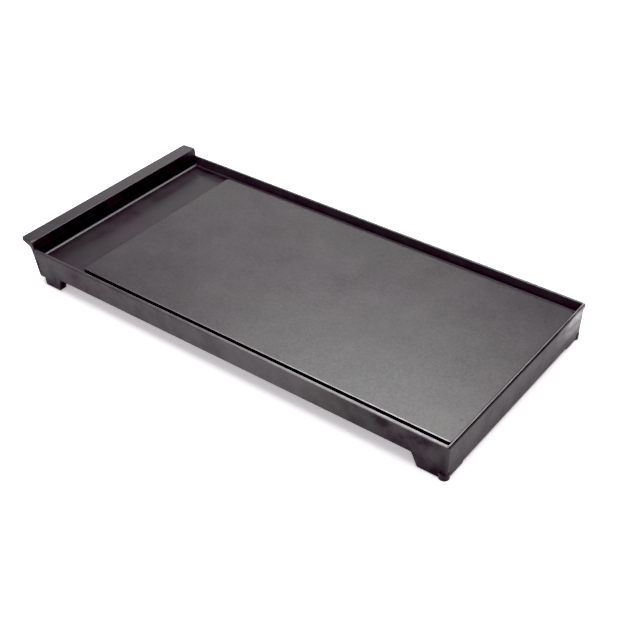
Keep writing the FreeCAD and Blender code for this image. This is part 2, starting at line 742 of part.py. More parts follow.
def sensor_tube_screws():
    seat = ELEMENT_AXIS - SENSOR_RADIUS - CLAMP_THICKNESS
    return Part.makeCompound([screw(x, y, seat, CLAMP_SCREW_LENGTH) for x, y in sensor_screw_places()])


def socket_shroud():
    """The moulded housing round the contact pins, open at the back wall."""
    left = SOCKET_X - SHROUD_HALF_WIDTH
    right = SOCKET_X + SHROUD_HALF_WIDTH
    shroud = rounded_block(left, right, SHROUD_BACK, SHROUD_MOUTH, SHROUD_BOTTOM, FLOOR_UNDERSIDE, 1.5)
    cavity = block(
        left + SHROUD_WALL,
        right - SHROUD_WALL,
        SHROUD_BACK + SHROUD_BACK_WALL,
        SHROUD_MOUTH + 1,
        ELEMENT_AXIS - CAVITY_HALF_HEIGHT,
        ELEMENT_AXIS + CAVITY_HALF_HEIGHT,
    )
    cavity = round_edges(cavity, 1.5, lambda box: box.YLength > 5)
    ear_top = EAR_BOTTOM + EAR_THICKNESS
    ears = []
    for x, y in ear_places():
        ears.append(post(x, y, EAR_BOTTOM, ear_top, EAR_RADIUS))
        near = SOCKET_X + (SHROUD_HALF_WIDTH - 1) * (1 if x > SOCKET_X else -1)
        ears.append(block(min(x, near), max(x, near), y - EAR_RADIUS, y + EAR_RADIUS, EAR_BOTTOM, ear_top))
    shroud = fuse([shroud, *ears]).cut(cavity)
    pin_hole = PIN_NECK_RADIUS + 0.2
    holes = [rod_y(x, ELEMENT_AXIS, SHROUD_BACK - 1, SHROUD_MOUTH, pin_hole) for x in pin_places()]
    holes.append(rod_y(SOCKET_X, ELEMENT_AXIS, SHROUD_BACK - 1, SHROUD_MOUTH, SENSOR_RADIUS + 0.1))
    holes += [post(x, y, EAR_BOTTOM - 1, ear_top + 1, CLEARANCE_HOLE) for x, y in ear_places()]
    return shroud.cut(holes)


def socket_shroud_screws():
    return Part.makeCompound([screw(x, y, EAR_BOTTOM, EAR_SCREW_LENGTH) for x, y in ear_places()])


# ---------------------------------------------------------------- shield, cover and label


def pan(x0, x1, half_depth, bottom, thickness, flange, radius):
    """A shallow sheet-metal pan with its rim turned up."""
    outside = rounded_block(x0, x1, -half_depth, half_depth, bottom, bottom + flange, radius)
    inside = rounded_block(
        x0 + thickness,
        x1 - thickness,
        thickness - half_depth,
        half_depth - thickness,
        bottom + thickness,
        bottom + flange + 1,
        radius - thickness,
    )
    return outside.cut(inside)


def heat_shield():
    shield = pan(
        SHIELD_LEFT,
        SHIELD_RIGHT,
        SHIELD_HALF_DEPTH,
        SHIELD_BOTTOM,
        SHIELD_THICKNESS,
        SHIELD_FLANGE,
        8.0,
    )
    low = SHIELD_BOTTOM - 1
    high = SHIELD_BOTTOM + SHIELD_THICKNESS + 1
    return shield.cut([post(x, y, low, high, CLEARANCE_HOLE) for x, y in shield_places()])


def heat_shield_spacers():
    low = SHIELD_BOTTOM + SHIELD_THICKNESS
    spacers = []
    for x, y in shield_places():
        sleeve = post(x, y, low, SHIELD_POST_BOTTOM, POST_RADIUS - 0.5)
        spacers.append(sleeve.cut(post(x, y, low - 1, SHIELD_POST_BOTTOM + 1, CLEARANCE_HOLE)))
    return Part.makeCompound(spacers)


def heat_shield_screws():
    return Part.makeCompound([screw(x, y, SHIELD_BOTTOM, SHIELD_SCREW_LENGTH) for x, y in shield_places()])


def vent_slots():
    slots = []
    low = COVER_BOTTOM - 1
    high = COVER_BOTTOM + COVER_THICKNESS + 1
    for centre_x, centre_y in VENT_CENTRES:
        for step in range(VENT_COUNT):
            x = centre_x + VENT_PITCH * (step - (VENT_COUNT - 1) / 2)
            slots.append(
                rounded_block(
                    x - VENT_WIDTH / 2,
                    x + VENT_WIDTH / 2,
                    centre_y - VENT_LENGTH / 2,
                    centre_y + VENT_LENGTH / 2,
                    low,
                    high,
                    VENT_WIDTH / 2 - 0.05,
                )
            )
    return slots


def bottom_cover():
    cover = pan(
        COVER_LEFT,
        COVER_RIGHT,
        COVER_HALF_DEPTH,
        COVER_BOTTOM,
        COVER_THICKNESS,
        COVER_FLANGE,
        COVER_CORNER,
    )
    notch = block(
        SOCKET_X - NOTCH_HALF_WIDTH,
        SOCKET_X + NOTCH_HALF_WIDTH,
        NOTCH_Y,
        COVER_HALF_DEPTH + 1,
        COVER_BOTTOM - 1,
        COVER_BOTTOM + COVER_FLANGE + 1,
    )
    low = COVER_BOTTOM - 1
    high = COVER_BOTTOM + COVER_THICKNESS + 1
    holes = [post(x, y, low, high, CLEARANCE_HOLE) for x, y in cover_places()]
    holes += [post(x, y, low, high, RIVET_RADIUS + PRESS_GAP) for x, y in label_rivet_places()]
    return cover.cut([notch, *holes, *vent_slots()])


def bottom_cover_screws():
    return Part.makeCompound([screw(x, y, COVER_BOTTOM, COVER_SCREW_LENGTH) for x, y in cover_places()])


def rating_plate():
    """A blank metal label riveted under the cover."""
    x, y = LABEL_CENTRE
    low = COVER_BOTTOM - LABEL_THICKNESS
    label = rounded_block(
        x - LABEL_HALF_LENGTH,
        x + LABEL_HALF_LENGTH,
        y - LABEL_HALF_WIDTH,
        y + LABEL_HALF_WIDTH,
        low,
        COVER_BOTTOM,
        2.0,
    )
    hole = RIVET_RADIUS + PRESS_GAP
    return label.cut([post(px, py, low - 1, COVER_BOTTOM + 1, hole) for px, py in label_rivet_places()])


def rating_plate_rivets():
    rivets = []
    low = COVER_BOTTOM - LABEL_THICKNESS
    high = COVER_BOTTOM + COVER_THICKNESS
    for x, y in label_rivet_places():
        head = post(x, y, low - RIVET_HEAD, low, RIVET_HEAD_RADIUS)
        shank = post(x, y, low, high, RIVET_RADIUS)
        clench = post(x, y, high, high + RIVET_HEAD, RIVET_HEAD_RADIUS - 0.3)
        rivets.append(fuse([head, shank, clench]))
    return Part.makeCompound(rivets)


# ---------------------------------------------------------------- rubber feet


def pad_foot(side):
    """A flat rubber pad under a left lug, with a stem pushed up into it."""
    x, y = left_pad_centre(side)
    half_x = LEFT_FOOT_LENGTH / 2 - PAD_MARGIN
    half_y = LEFT_FOOT_DEPTH / 2 - PAD_MARGIN
    pad = rounded_block(x - half_x, x + half_x, y - half_y, y + half_y, 0, FOOT_LIFT, PAD_CORNER)
    return pad.fuse(post(x, y, FOOT_LIFT, FOOT_LIFT + PAD_STEM, PAD_STEM_RADIUS))


def button_foot(side):
    """A round rubber button in a right corner's socket, proud of both walls."""
    y = side * BUTTON_Y
    button = post(BUTTON_X, y, 0, BUTTON_HEIGHT, BUTTON_RADIUS)
    button = round_edges(button, BUTTON_EDGE, lambda box: box.ZLength < 0.01)
    stem = post(BUTTON_X, y, BUTTON_HEIGHT, BUTTON_HEIGHT + BUTTON_STEM, BUTTON_STEM_RADIUS)
    return button.fuse(stem)


# ---------------------------------------------------------------- files

NODES = {
    "tray_casting": tray_casting,
    "cooking_plate": cooking_plate,
    "plate_locating_pins": plate_locating_pins,
    "element_sheath": element_sheath,
    "element_magnesia": element_magnesia,
    "element_coil": element_coil,
    "terminal_pins": terminal_pins,
    "terminal_seals": terminal_seals,
    "element_clamps": element_clamps,
    "element_clamp_screws": element_clamp_screws,
    "sensor_tube": sensor_tube,
    "sensor_tube_clip": sensor_tube_clip,
    "sensor_tube_screws": sensor_tube_screws,
    "socket_shroud": socket_shroud,
    "socket_shroud_screws": socket_shroud_screws,
    "heat_shield": heat_shield,
    "heat_shield_spacers": heat_shield_spacers,
    "heat_shield_screws": heat_shield_screws,
    "bottom_cover": bottom_cover,
    "bottom_cover_screws": bottom_cover_screws,
    "rating_plate": rating_plate,
    "rating_plate_rivets": rating_plate_rivets,
    "front_left_foot": lambda: pad_foot(-1),
    "back_left_foot": lambda: pad_foot(1),
    "front_right_foot": lambda: button_foot(-1),
    "back_right_foot": lambda: button_foot(1),
}

os.makedirs("parts", exist_ok=True)
for name, make in NODES.items():
    shape = make()
    if not shape.isValid():
        raise ValueError(name + " isn't a valid shape")
    shape.exportStep("parts/" + name + ".step")
    print(name, len(shape.Solids), "solids,", round(shape.Volume / 1000, 2), "cm3")
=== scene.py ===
import math

import bmesh
import bpy
from mathutils import Matrix, Vector, noise


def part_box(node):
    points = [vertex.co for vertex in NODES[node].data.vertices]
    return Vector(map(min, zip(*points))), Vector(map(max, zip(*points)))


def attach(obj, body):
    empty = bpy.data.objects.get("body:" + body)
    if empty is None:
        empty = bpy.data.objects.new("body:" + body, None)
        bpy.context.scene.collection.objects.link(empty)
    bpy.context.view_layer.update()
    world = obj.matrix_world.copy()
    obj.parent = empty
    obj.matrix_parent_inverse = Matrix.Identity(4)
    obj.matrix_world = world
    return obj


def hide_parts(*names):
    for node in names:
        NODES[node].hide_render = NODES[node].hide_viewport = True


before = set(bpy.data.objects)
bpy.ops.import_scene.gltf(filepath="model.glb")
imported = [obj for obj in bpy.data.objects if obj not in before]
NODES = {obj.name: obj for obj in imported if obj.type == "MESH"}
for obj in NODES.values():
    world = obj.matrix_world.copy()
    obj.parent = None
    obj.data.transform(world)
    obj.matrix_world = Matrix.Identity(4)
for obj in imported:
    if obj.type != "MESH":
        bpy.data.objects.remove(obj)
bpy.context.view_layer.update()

# Electric griddle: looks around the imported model. Metres, in the frame of the CAD model: X along
# the length from the handle flange at -X, the front at -Y, Z up from the table.

MM = 0.001


def box_mm(node):
    """A CAD node's box, in millimetres."""
    low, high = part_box(node)
    return Vector(low) / MM, Vector(high) / MM


# ---------------------------------------------------------------- dimensions, in millimetres

TRAY_LOW, TRAY_HIGH = box_mm("tray_casting")
PLATE_LOW, PLATE_HIGH = box_mm("cooking_plate")
COVER_LOW, COVER_HIGH = box_mm("bottom_cover")
LIP_PROUD = 1.0
RIM_TOP = 41.0
FLANGE_TIP = TRAY_LOW.x
FLANGE_TOP = TRAY_HIGH.z
FLANGE_THICKNESS = 4.2
FLANGE_CORNER = 4.0
FLANGE_EDGE = 1.2
END_WALL = FLANGE_TIP + 17.0  # where the rim ends and the flange begins
END_WALL_FOOT = END_WALL + 2.5
END_WALL_TOP = END_WALL + 0.5
END_WALL_BOTTOM = 9.0
END_WALL_SHOULDERS = 0.8, 3.6  # radius of the flange's inner top edge, along it and at its ends
END_WALL_SHOULDER_LENGTH = 7.5
END_WALL_EDGE = 0.45
WALL_START = END_WALL_FOOT + 1.7  # where the swept walls come out of the end wall
WALL_START_LEAN = 3.4  # how much further in they start at the rim
LIP_SHARE = 0.25  # of the lip's full width, at the swept walls' start
LIP_RUN = 22.0  # the length over which the lip grows to its full width
FLOOR_TOP = PLATE_LOW.z
FLOOR_UNDERSIDE = FLOOR_TOP - 4.0
FLOOR_FILLET = 1.8
RIGHT_WALL = TRAY_HIGH.x - LIP_PROUD
HALF_DEPTH = TRAY_HIGH.y - LIP_PROUD
WALL_DRAFT = 1.5 / RIM_TOP
WALL_CORNER = 3.5
WALL_STEP = 14.0  # greatest distance between the wall's sections
RIM_INSET = 2.35  # from the wall's outer face to the rim's inner edge
RIM_GROOVE = 0.9  # depth of the fine groove along the right rim
SKIRT_INSET = 4.5  # from the wall's outer face to the skirt's inner face
FOOT_BOTTOM = TRAY_LOW.z
SKIRT_BOTTOM = 15.3
RIGHT_WALL_BOTTOM = 3.0
LEFT_FOOT = (-234.8, -233.9, -213.5, -211.0)  # start at the top, start, end, end at the top
LEFT_FOOT_DEPTH = 9.0
RIGHT_FOOT = (224.1, 230.5)  # start at the top, start
SIDE_FOOT = (97.5, 99.5)  # end at the top, end
BUTTON = (255.8, 122.4)
BUTTON_RADIUS = 5.3
BUTTON_TOP = 8.4
BUTTON_SHOULDER = 2.4
POCKET_TOP = BUTTON_TOP - 1.2
POCKET = 252.2, 118.2  # where a button's pocket starts to cut each wall
LUG_START = (249.9, 115.9)
PORT = (121.5, 178.5)
SOCKET_X = sum(PORT) / 2
ELEMENT_AXIS = 17.0
ELEMENT_LOOP = (-150.0, 222.2)  # the loop's ends along X
ELEMENT_HALF_LOOP = 62.0
ELEMENT_BEND = 30.0
TERMINAL_SPREAD = 16.0  # from the socket's middle to each leg of the element
TERMINAL_BEND = 14.0
TERMINAL_END = 98.0
BED_HALF_WIDTH = 5.5
SENSOR_BED = (36.0, 100.0)
CLAMPS = [-110.0 + 90.0 * step for step in range(4)]
CLAMP_SCREW_OFFSET = 11.5
SENSOR_CLIP_Y = 50.0
PLATE_CORNER = 3.0
PLATE_SLIMMER = Vector((0.0, 1.4, 0.0))  # the gaps before and behind the plate look this much wider
SHEET_LOW = PLATE_LOW + PLATE_SLIMMER
SHEET_HIGH = PLATE_HIGH - PLATE_SLIMMER
PLATE_ROLL = 0.6  # radius of the top edge
PLATE_CHAMFER = 1.2
PLATE_CELL = 12.0
DOWELS = [(x, y) for x in (-166.0, 244.2) for y in (-85.5, 85.5)]
CLAMP_POST = (4.0, 13.75)  # each post's radius and the height of its lower end
SCREW_POST = (4.5, 16.0)
COVER_POST = (4.5, COVER_LOW.z + 0.8)
DOWEL_BOSS = (6.0, 21.0)
DOWEL_SOCKET_RADIUS = 3.4
DOWEL_SOCKET_DEPTH = 4.0
DOWEL_CELL = 6.0  # half the width of the square round each socket


# ---------------------------------------------------------------- shader helpers


def add_node(tree, kind, inputs=(), **properties):
    """A shader node whose inputs are given as (socket, constant value or the socket to link)."""
    made = tree.nodes.new("ShaderNode" + kind)
    for name, value in properties.items():
        setattr(made, name, value)
    for socket, value in inputs:
        if isinstance(value, bpy.types.NodeSocket):
            tree.links.new(value, made.inputs[socket])
        else:
            made.inputs[socket].default_value = value
    return made


class Shader:
    """A material under construction: short ways to add and join its nodes."""

    def __init__(self, name):
        self.material = bpy.data.materials.new(name)
        self.material.use_nodes = True
        self.tree = self.material.node_tree
        self.surface = self.tree.nodes["Principled BSDF"]
        self.place = self.tree.nodes.new("ShaderNodeTexCoord").outputs["Object"]

    def set(self, **values):
        """Constant values on the surface shader's own sockets."""
        for name, value in values.items():
            self.surface.inputs[name.replace("_", " ")].default_value = value

    def node(self, kind, inputs=(), **properties):
        return add_node(self.tree, kind, inputs, **properties)

    def stretched(self, scale):
        """Object coordinates scaled along each axis, for grain that runs one way."""
        return self.node("Mapping", [("Vector", self.place), ("Scale", scale)]).outputs["Vector"]

    def noise(self, scale, detail=3.0, roughness=0.5, place=None, distortion=0.0):
        inputs = [
            ("Vector", place or self.place),
            ("Scale", scale),
            ("Detail", detail),
            ("Roughness", roughness),
            ("Distortion", distortion),
        ]
        return self.node("TexNoise", inputs).outputs["Fac"]

    def cells(self, scale, feature="F1"):
        inputs = [("Vector", self.place), ("Scale", scale)]
        return self.node("TexVoronoi", inputs, feature=feature).outputs["Distance"]

    def ramp(self, value, start, end, low=0.0, high=1.0):
        """Maps value from start..end to low..high and holds it there."""
        inputs = [
            ("Value", value),
            ("From Min", start),
            ("From Max", end),
            ("To Min", low),
            ("To Max", high),
        ]
        return self.node("MapRange", inputs).outputs["Result"]

    def maths(self, operation, first, second):
        return self.node("Math", [(0, first), (1, second)], operation=operation).outputs[0]

    def product(self, first, *others):
        """Values multiplied together, such as masks that limit one another."""
        for other in others:
            first = self.maths("MULTIPLY", first, other)
        return first

    def most(self, first, *others):
        """The largest of some values, such as masks laid side by side."""
        for other in others:
            first = self.maths("MAXIMUM", first, other)
        return first

    def mix(self, share, first, second):
        """A colour between two, by share."""
        mixer = self.node("Mix", [("Factor", share)], data_type="RGBA")
        for socket, value in ((mixer.inputs[6], first), (mixer.inputs[7], second)):
            if isinstance(value, bpy.types.NodeSocket):
                self.tree.links.new(value, socket)
            else:
                socket.default_value = (*value, 1)
        return mixer.outputs[2]

    def mix_value(self, share, first, second):
        """A number blended from first, at share 0, to second, at share 1."""
        inputs = [("Value", share), ("To Min", first), ("To Max", second)]
        return self.node("MapRange", inputs).outputs["Result"]

    def colour(self, value):
        self.tree.links.new(value, self.surface.inputs["Base Color"])

    def specular(self, value):
        self.tree.links.new(value, self.surface.inputs["Specular IOR Level"])

    def level_faces(self):
        """1 on faces that look up or down, 0 on upright ones."""
        normal = self.tree.nodes.new("ShaderNodeNewGeometry").outputs["Normal"]
        upright = self.node("SeparateXYZ", [("Vector", normal)]).outputs["Z"]
        return self.ramp(self.maths("ABSOLUTE", upright, 0.0), 0.3, 0.75)

    def along(self, axis, start, end):
        """0 before one position along an axis and 1 after another, in millimetres."""
        place = self.node("SeparateXYZ", [("Vector", self.place)]).outputs[axis]
        return self.ramp(place, start * MM, end * MM)

    def band(self, axis, rise, fall):
        """1 between a rising and a falling edge along an axis, each given as (start, end)."""
        return self.product(self.along(axis, *rise), self.along(axis, *fall))

    def spot(self, x, y, radius):
        """1 at a place seen in plan, fading to 0 at a radius, in millimetres."""
        flatten = [("Vector", self.place), ("Scale", (1.0, 1.0, 0.0))]
        flat = self.node("Mapping", flatten).outputs["Vector"]
        inputs = [(0, flat), (1, (x * MM, y * MM, 0.0))]
        distance = self.node("VectorMath", inputs, operation="DISTANCE").outputs["Value"]
        return self.ramp(distance, radius * MM, 0.0)

    def gloss(self, value):
        self.tree.links.new(value, self.surface.inputs["Roughness"])

    def bump(self, layers):
        """Bump from (height, depth in metres) layers, each on top of the one before."""
        normal = None
        for height, depth in layers:
            inputs = [("Height", height), ("Distance", depth), ("Strength", 1.0)]
            if normal is not None:
                inputs.append(("Normal", normal))
            normal = self.node("Bump", inputs).outputs["Normal"]
        self.tree.links.new(normal, self.surface.inputs["Normal"])


# ---------------------------------------------------------------- materials


def coating(s, patches, tones, wear_and_painted_light, wear_and_painted_light_tone, painted_shade, stain=None):
    """Colour of the non-stick coat: cloudy purple-black, pale where worn and where a highlight is
    painted, with painted shade in the gaps.
    """
    greenish = s.ramp(s.noise(9, 3, 0.5), 0.5, 0.68, 0.0, 0.8)
    specks = s.product(s.ramp(s.cells(380), 0.09, 0.03), 0.2)
    tone = s.mix(s.ramp(patches, 0.3, 0.7), *tones)
    tone = s.mix(greenish, tone, (0.0115, 0.0118, 0.0098))
    if stain:
        tone = s.mix(stain, tone, (0.0180, 0.0168, 0.0108))
    tone = s.mix(specks, tone, (0.06, 0.058, 0.055))
    # The pale tone carries wear together with painted highlights and light; the near black is
    # painted shade.
    s.colour(s.mix(painted_shade, s.mix(wear_and_painted_light, tone, wear_and_painted_light_tone), (0.0006, 0.0004, 0.0005)))


def wall_scuffs_and_painted_sheen(s, right_face):
    """Pale scuffs high on the right wall, toward the back, together with a painted sheen where that
    part of the wall catches more light.
    """
    streaks = s.noise(75, 4, 0.6, s.stretched((1.0, 0.6, 1.3)), 0.5)
    toward_top = s.ramp(s.along("Z", 12, 34), 0, 1, 0.0, 0.95)
    return s.product(s.ramp(streaks, 0.32, 0.68), s.along("Y", 65, 116), right_face, toward_top)


def rim_wear_and_painted_highlight(s):
    """The rubbed top of the rim with a painted highlight, brighter toward the right end."""
    top = s.band("Z", (RIM_TOP - 1.5, RIM_TOP - 0.5), (RIM_TOP + 1.0, RIM_TOP + 0.4))
    toward_right = s.ramp(s.along("X", -150, 200), 0, 1, 0.04, 0.22)
    inside_groove = s.along("X", RIGHT_WALL - 0.3, RIGHT_WALL - 0.9)
    rub = s.ramp(s.noise(130, 4, 0.6), 0.25, 0.6, 0.35, 1.0)
    return s.product(top, toward_right, inside_groove, rub)


def back_wall_painted_light(s):
    """Painted light: a thin pale wash on the inner face of the back wall."""
    face = s.band("Y", (HALF_DEPTH - 3.7, HALF_DEPTH - 3.1), (HALF_DEPTH - 1.3, HALF_DEPTH - 1.9))
    height = s.band("Z", (FLOOR_TOP - 0.2, FLOOR_TOP + 0.2), (RIM_TOP - 0.5, RIM_TOP - 1.0))
    return s.product(face, height, 0.095)


def end_wall_painted_highlight(s):
    """A painted highlight: a pale line along the fillet at the foot of the end wall."""
    foot = END_WALL_FOOT
    fillet = s.band("X", (foot - 0.5, foot - 0.1), (foot + 1.4, foot + 1.0))
    height = s.band("Z", (FLOOR_TOP, FLOOR_TOP + 0.2), (FLOOR_TOP + 2.0, FLOOR_TOP + 1.6))
    inside = s.along("Y", 3.0 - HALF_DEPTH, 4.0 - HALF_DEPTH)
    return s.product(fillet, height, inside, 0.5)


def painted_gap_shade(s):
    """Painted shade in the gap before the plate and in the groove along the right rim."""
    gap = s.product(
        s.band("Y", (12.5 - HALF_DEPTH, 11.0 - HALF_DEPTH), (1.3 - HALF_DEPTH, 1.9 - HALF_DEPTH)),
        s.band("Z", (FLOOR_TOP - 1.0, FLOOR_TOP - 0.2), (RIM_TOP - 0.1, RIM_TOP - 0.8)),
        s.band("X", (-250, -190), (RIGHT_WALL - 2.3, RIGHT_WALL - 2.9)),
    )
    groove = s.product(
        s.band("X", (RIGHT_WALL - 1.1, RIGHT_WALL - 0.8), (RIGHT_WALL - 0.15, RIGHT_WALL - 0.35)),
        s.along("Z", RIM_TOP - 1.5, RIM_TOP - 1.3),
    )
    return s.most(gap, groove)


def front_wall_painted_sheen(s):
    """Painted sheen: a stronger reflection on the paler left and middle part of the front wall."""
    face = s.along("Y", 5.5 - HALF_DEPTH, 2.5 - HALF_DEPTH)
    toward_middle = s.ramp(s.along("X", -250, 80), 0, 1, 0.0, 0.4)
    return s.product(s.along("X", 165, 105), face, toward_middle)


def coated_casting():
    """Satin non-stick coat on the casting: upright faces duller, walls scuffed, rim rubbed, with
    painted highlights and sheen, and painted shade in the gaps.
    """
    s = Shader("coated_casting")
    s.set(IOR=1.5, Metallic=0.0)
    patches = s.noise(42, 5, 0.6)
    level = s.level_faces()
    right_face = s.along("X", RIGHT_WALL - 3.1, RIGHT_WALL - 2.5)
    # Rub and scuff wear mixed with painted highlights on the rim and end-wall fillet, a painted
    # sheen on the right wall and painted light on the back wall.
    wear_and_painted_light = s.most(rim_wear_and_painted_highlight(s), wall_scuffs_and_painted_sheen(s, right_face), back_wall_painted_light(s), end_wall_painted_highlight(s))
    # Painted shade: near black and without reflection in the gap before the plate and in the right
    # rim's groove.
    painted_shade = painted_gap_shade(s)
    tones = (0.0104, 0.0062, 0.0094), (0.0172, 0.0112, 0.0156)
    coating(s, patches, tones, wear_and_painted_light, (0.34, 0.33, 0.335), painted_shade)
    rough = s.maths("SUBTRACT", s.ramp(patches, 0.25, 0.75, 0.44, 0.58), s.product(level, 0.17))
    s.gloss(s.maths("SUBTRACT", rough, s.product(wear_and_painted_light, 0.1)))
    mottle = s.ramp(patches, 0.36, 0.64, 0.08, 0.34)
    # Painted sheen: a higher specular level on the front wall's left and middle and on the right
    # wall.
    painted_sheen = s.most(front_wall_painted_sheen(s), s.product(right_face, 0.08))
    upright = s.maths("ADD", mottle, painted_sheen)
    flat = s.ramp(s.along("Z", FLOOR_TOP + 0.2, FLOOR_TOP + 1.5), 0, 1, 0.31, 0.5)
    glance = s.maths("ADD", s.mix_value(level, upright, flat), s.product(wear_and_painted_light, 0.5))
    s.specular(s.product(glance, s.ramp(painted_shade, 0, 1, 1.0, 0.02)))
    s.bump([(s.noise(240, 3, 0.55), 0.00007), (s.noise(1100, 2, 0.5), 0.000016)])
    return s.material


def coated_plate():
    """The same coat on the plate: smoother, with wiping marks, a worn front edge that carries a
    painted highlight, painted shade on its sides and a stain.
    """
    s = Shader("coated_plate")
    s.set(IOR=1.5, Metallic=0.0)
    patches = s.noise(26, 5, 0.62)
    wipes = s.noise(90, 4, 0.65, s.stretched((0.15, 5.0, 1.0)), 0.4)
    front_edge = s.along("Y", SHEET_LOW.y + 1.4, SHEET_LOW.y + 0.7)
    rub = s.ramp(s.noise(160, 4, 0.6), 0.25, 0.6, 0.4, 1.0)
    # Wear along the front edge, pale as a painted highlight that brightens toward the right.
    wear_and_painted_light = s.product(front_edge, rub, s.along("X", -200, 250))
    # Painted shade: the plate's sides below the top edge go near black and lose their reflection.
    painted_side_shade = s.along("Z", PLATE_HIGH.z - 0.2, PLATE_HIGH.z - 0.5)
    stain = s.product(s.spot(232, -103, 34), s.ramp(s.noise(60, 4, 0.6), 0.35, 0.6))
    tones = (0.0100, 0.0076, 0.0093), (0.0165, 0.0124, 0.0146)
    coating(s, patches, tones, wear_and_painted_light, (0.33, 0.32, 0.325), painted_side_shade, stain)
    rough = s.ramp(patches, 0.25, 0.75, 0.29, 0.335)
    s.gloss(s.maths("ADD", rough, s.ramp(wipes, 0.45, 0.75, 0.0, 0.04)))
    glance = s.maths("ADD", s.product(wear_and_painted_light, 0.5), s.ramp(patches, 0.3, 0.7, 0.455, 0.52))
    grain = s.ramp(s.noise(380, 4, 0.7), 0.36, 0.64, -0.07, 0.07)
    marks = s.most(s.spot(248, -85.5, 2.1), s.spot(240, 85, 2.1))
    mottle = s.ramp(s.noise(700, 3, 0.6), 0.4, 0.6, 0.2, 0.8)
    dull = s.most(painted_side_shade, s.product(marks, mottle))
    s.specular(s.product(s.maths("ADD", glance, grain), s.ramp(dull, 0, 1, 1.0, 0.02)))
    s.bump([(s.noise(170, 3, 0.5), 0.00005), (s.noise(900, 2, 0.5), 0.000014)])
    return s.material


def metal(name, colour, rough, grain_scale, grain_axis, stain=(0.9, 0.88, 0.84)):
    """Bare or plated metal with a drawn grain, small stains and fingerprints."""
    s = Shader(name)
    s.set(Metallic=1.0)
    stretch = [1.0, 1.0, 1.0]
    stretch[grain_axis] = 0.06
    grain = s.noise(grain_scale, 4, 0.6, s.stretched(stretch))
    patches = s.noise(70, 5, 0.6)
    dark = tuple(channel * shade for channel, shade in zip(colour, stain))
    s.colour(s.mix(s.ramp(patches, 0.35, 0.7), dark, colour))
    rough_patches = s.ramp(patches, 0.3, 0.7, rough - 0.06, rough + 0.1)
    s.gloss(s.maths("ADD", rough_patches, s.ramp(grain, 0.3, 0.7, -0.04, 0.05)))
    s.bump([(grain, 0.00001)])
    return s.material


def sheath_steel():
    """The element's tube: straw, brown and blue heat tints in soft bands."""
    s = Shader("sheath_steel")
    s.set(Metallic=1.0)
    heat = s.noise(14, 4, 0.6, distortion=0.8)
    tone = s.mix(s.ramp(heat, 0.35, 0.55), (0.34, 0.27, 0.19), (0.20, 0.16, 0.15))
    tone = s.mix(s.ramp(heat, 0.55, 0.72), tone, (0.15, 0.17, 0.24))
    s.colour(tone)
    s.gloss(s.ramp(s.noise(300, 4, 0.6), 0.3, 0.7, 0.32, 0.52))
    s.bump([(s.noise(900, 3, 0.5), 0.00002)])
    return s.material


def ceramic(name, light, dark):
    """Unglazed white ceramic or pressed powder."""
    s = Shader(name)
    s.colour(s.mix(s.ramp(s.noise(260, 5, 0.6), 0.35, 0.7), dark, light))
    s.gloss(s.ramp(s.noise(120, 3, 0.5), 0.3, 0.7, 0.6, 0.85))
    s.bump([(s.noise(1500, 4, 0.6), 0.00004)])
    return s.material


def shroud_plastic():
    """Black phenolic moulding with a fine spark-eroded texture."""
    s = Shader("shroud_plastic")
    s.set(IOR=1.5)
    patches = s.ramp(s.noise(90, 4, 0.6), 0.3, 0.7)
    s.colour(s.mix(patches, (0.011, 0.011, 0.012), (0.02, 0.019, 0.018)))
    s.gloss(s.ramp(s.noise(60, 3, 0.5), 0.3, 0.7, 0.42, 0.56))
    s.bump([(s.cells(1500, feature="SMOOTH_F1"), 0.00003)])
    return s.material


def cover_paint():
    """Baked black enamel on sheet steel: orange peel, dust and drag marks from the worktop."""
    s = Shader("cover_paint")
    s.set(IOR=1.5)
    patches = s.noise(35, 5, 0.6)
    drag = s.ramp(s.noise(80, 4, 0.7, s.stretched((0.1, 4.0, 1.0)), 0.3), 0.62, 0.75)
    tone = s.mix(s.ramp(patches, 0.3, 0.7), (0.014, 0.014, 0.015), (0.026, 0.025, 0.025))
    s.colour(s.mix(s.product(drag, 0.4), tone, (0.09, 0.088, 0.085)))
    s.gloss(s.ramp(patches, 0.3, 0.7, 0.28, 0.42))
    s.bump([(s.noise(420, 2, 0.4), 0.00006)])
    return s.material


def foot_rubber():
    """Moulded black rubber, slightly dusty."""
    s = Shader("foot_rubber")
    s.set(IOR=1.5, Specular_IOR_Level=0.18)
    dust = s.ramp(s.noise(300, 5, 0.65), 0.5, 0.8)
    s.colour(s.mix(s.product(dust, 0.2), (0.006, 0.0045, 0.006), (0.04, 0.038, 0.038)))
    s.gloss(s.ramp(s.noise(200, 3, 0.5), 0.3, 0.7, 0.2, 0.34))
    s.bump([(s.noise(1400, 3, 0.5), 0.00002)])
    return s.material


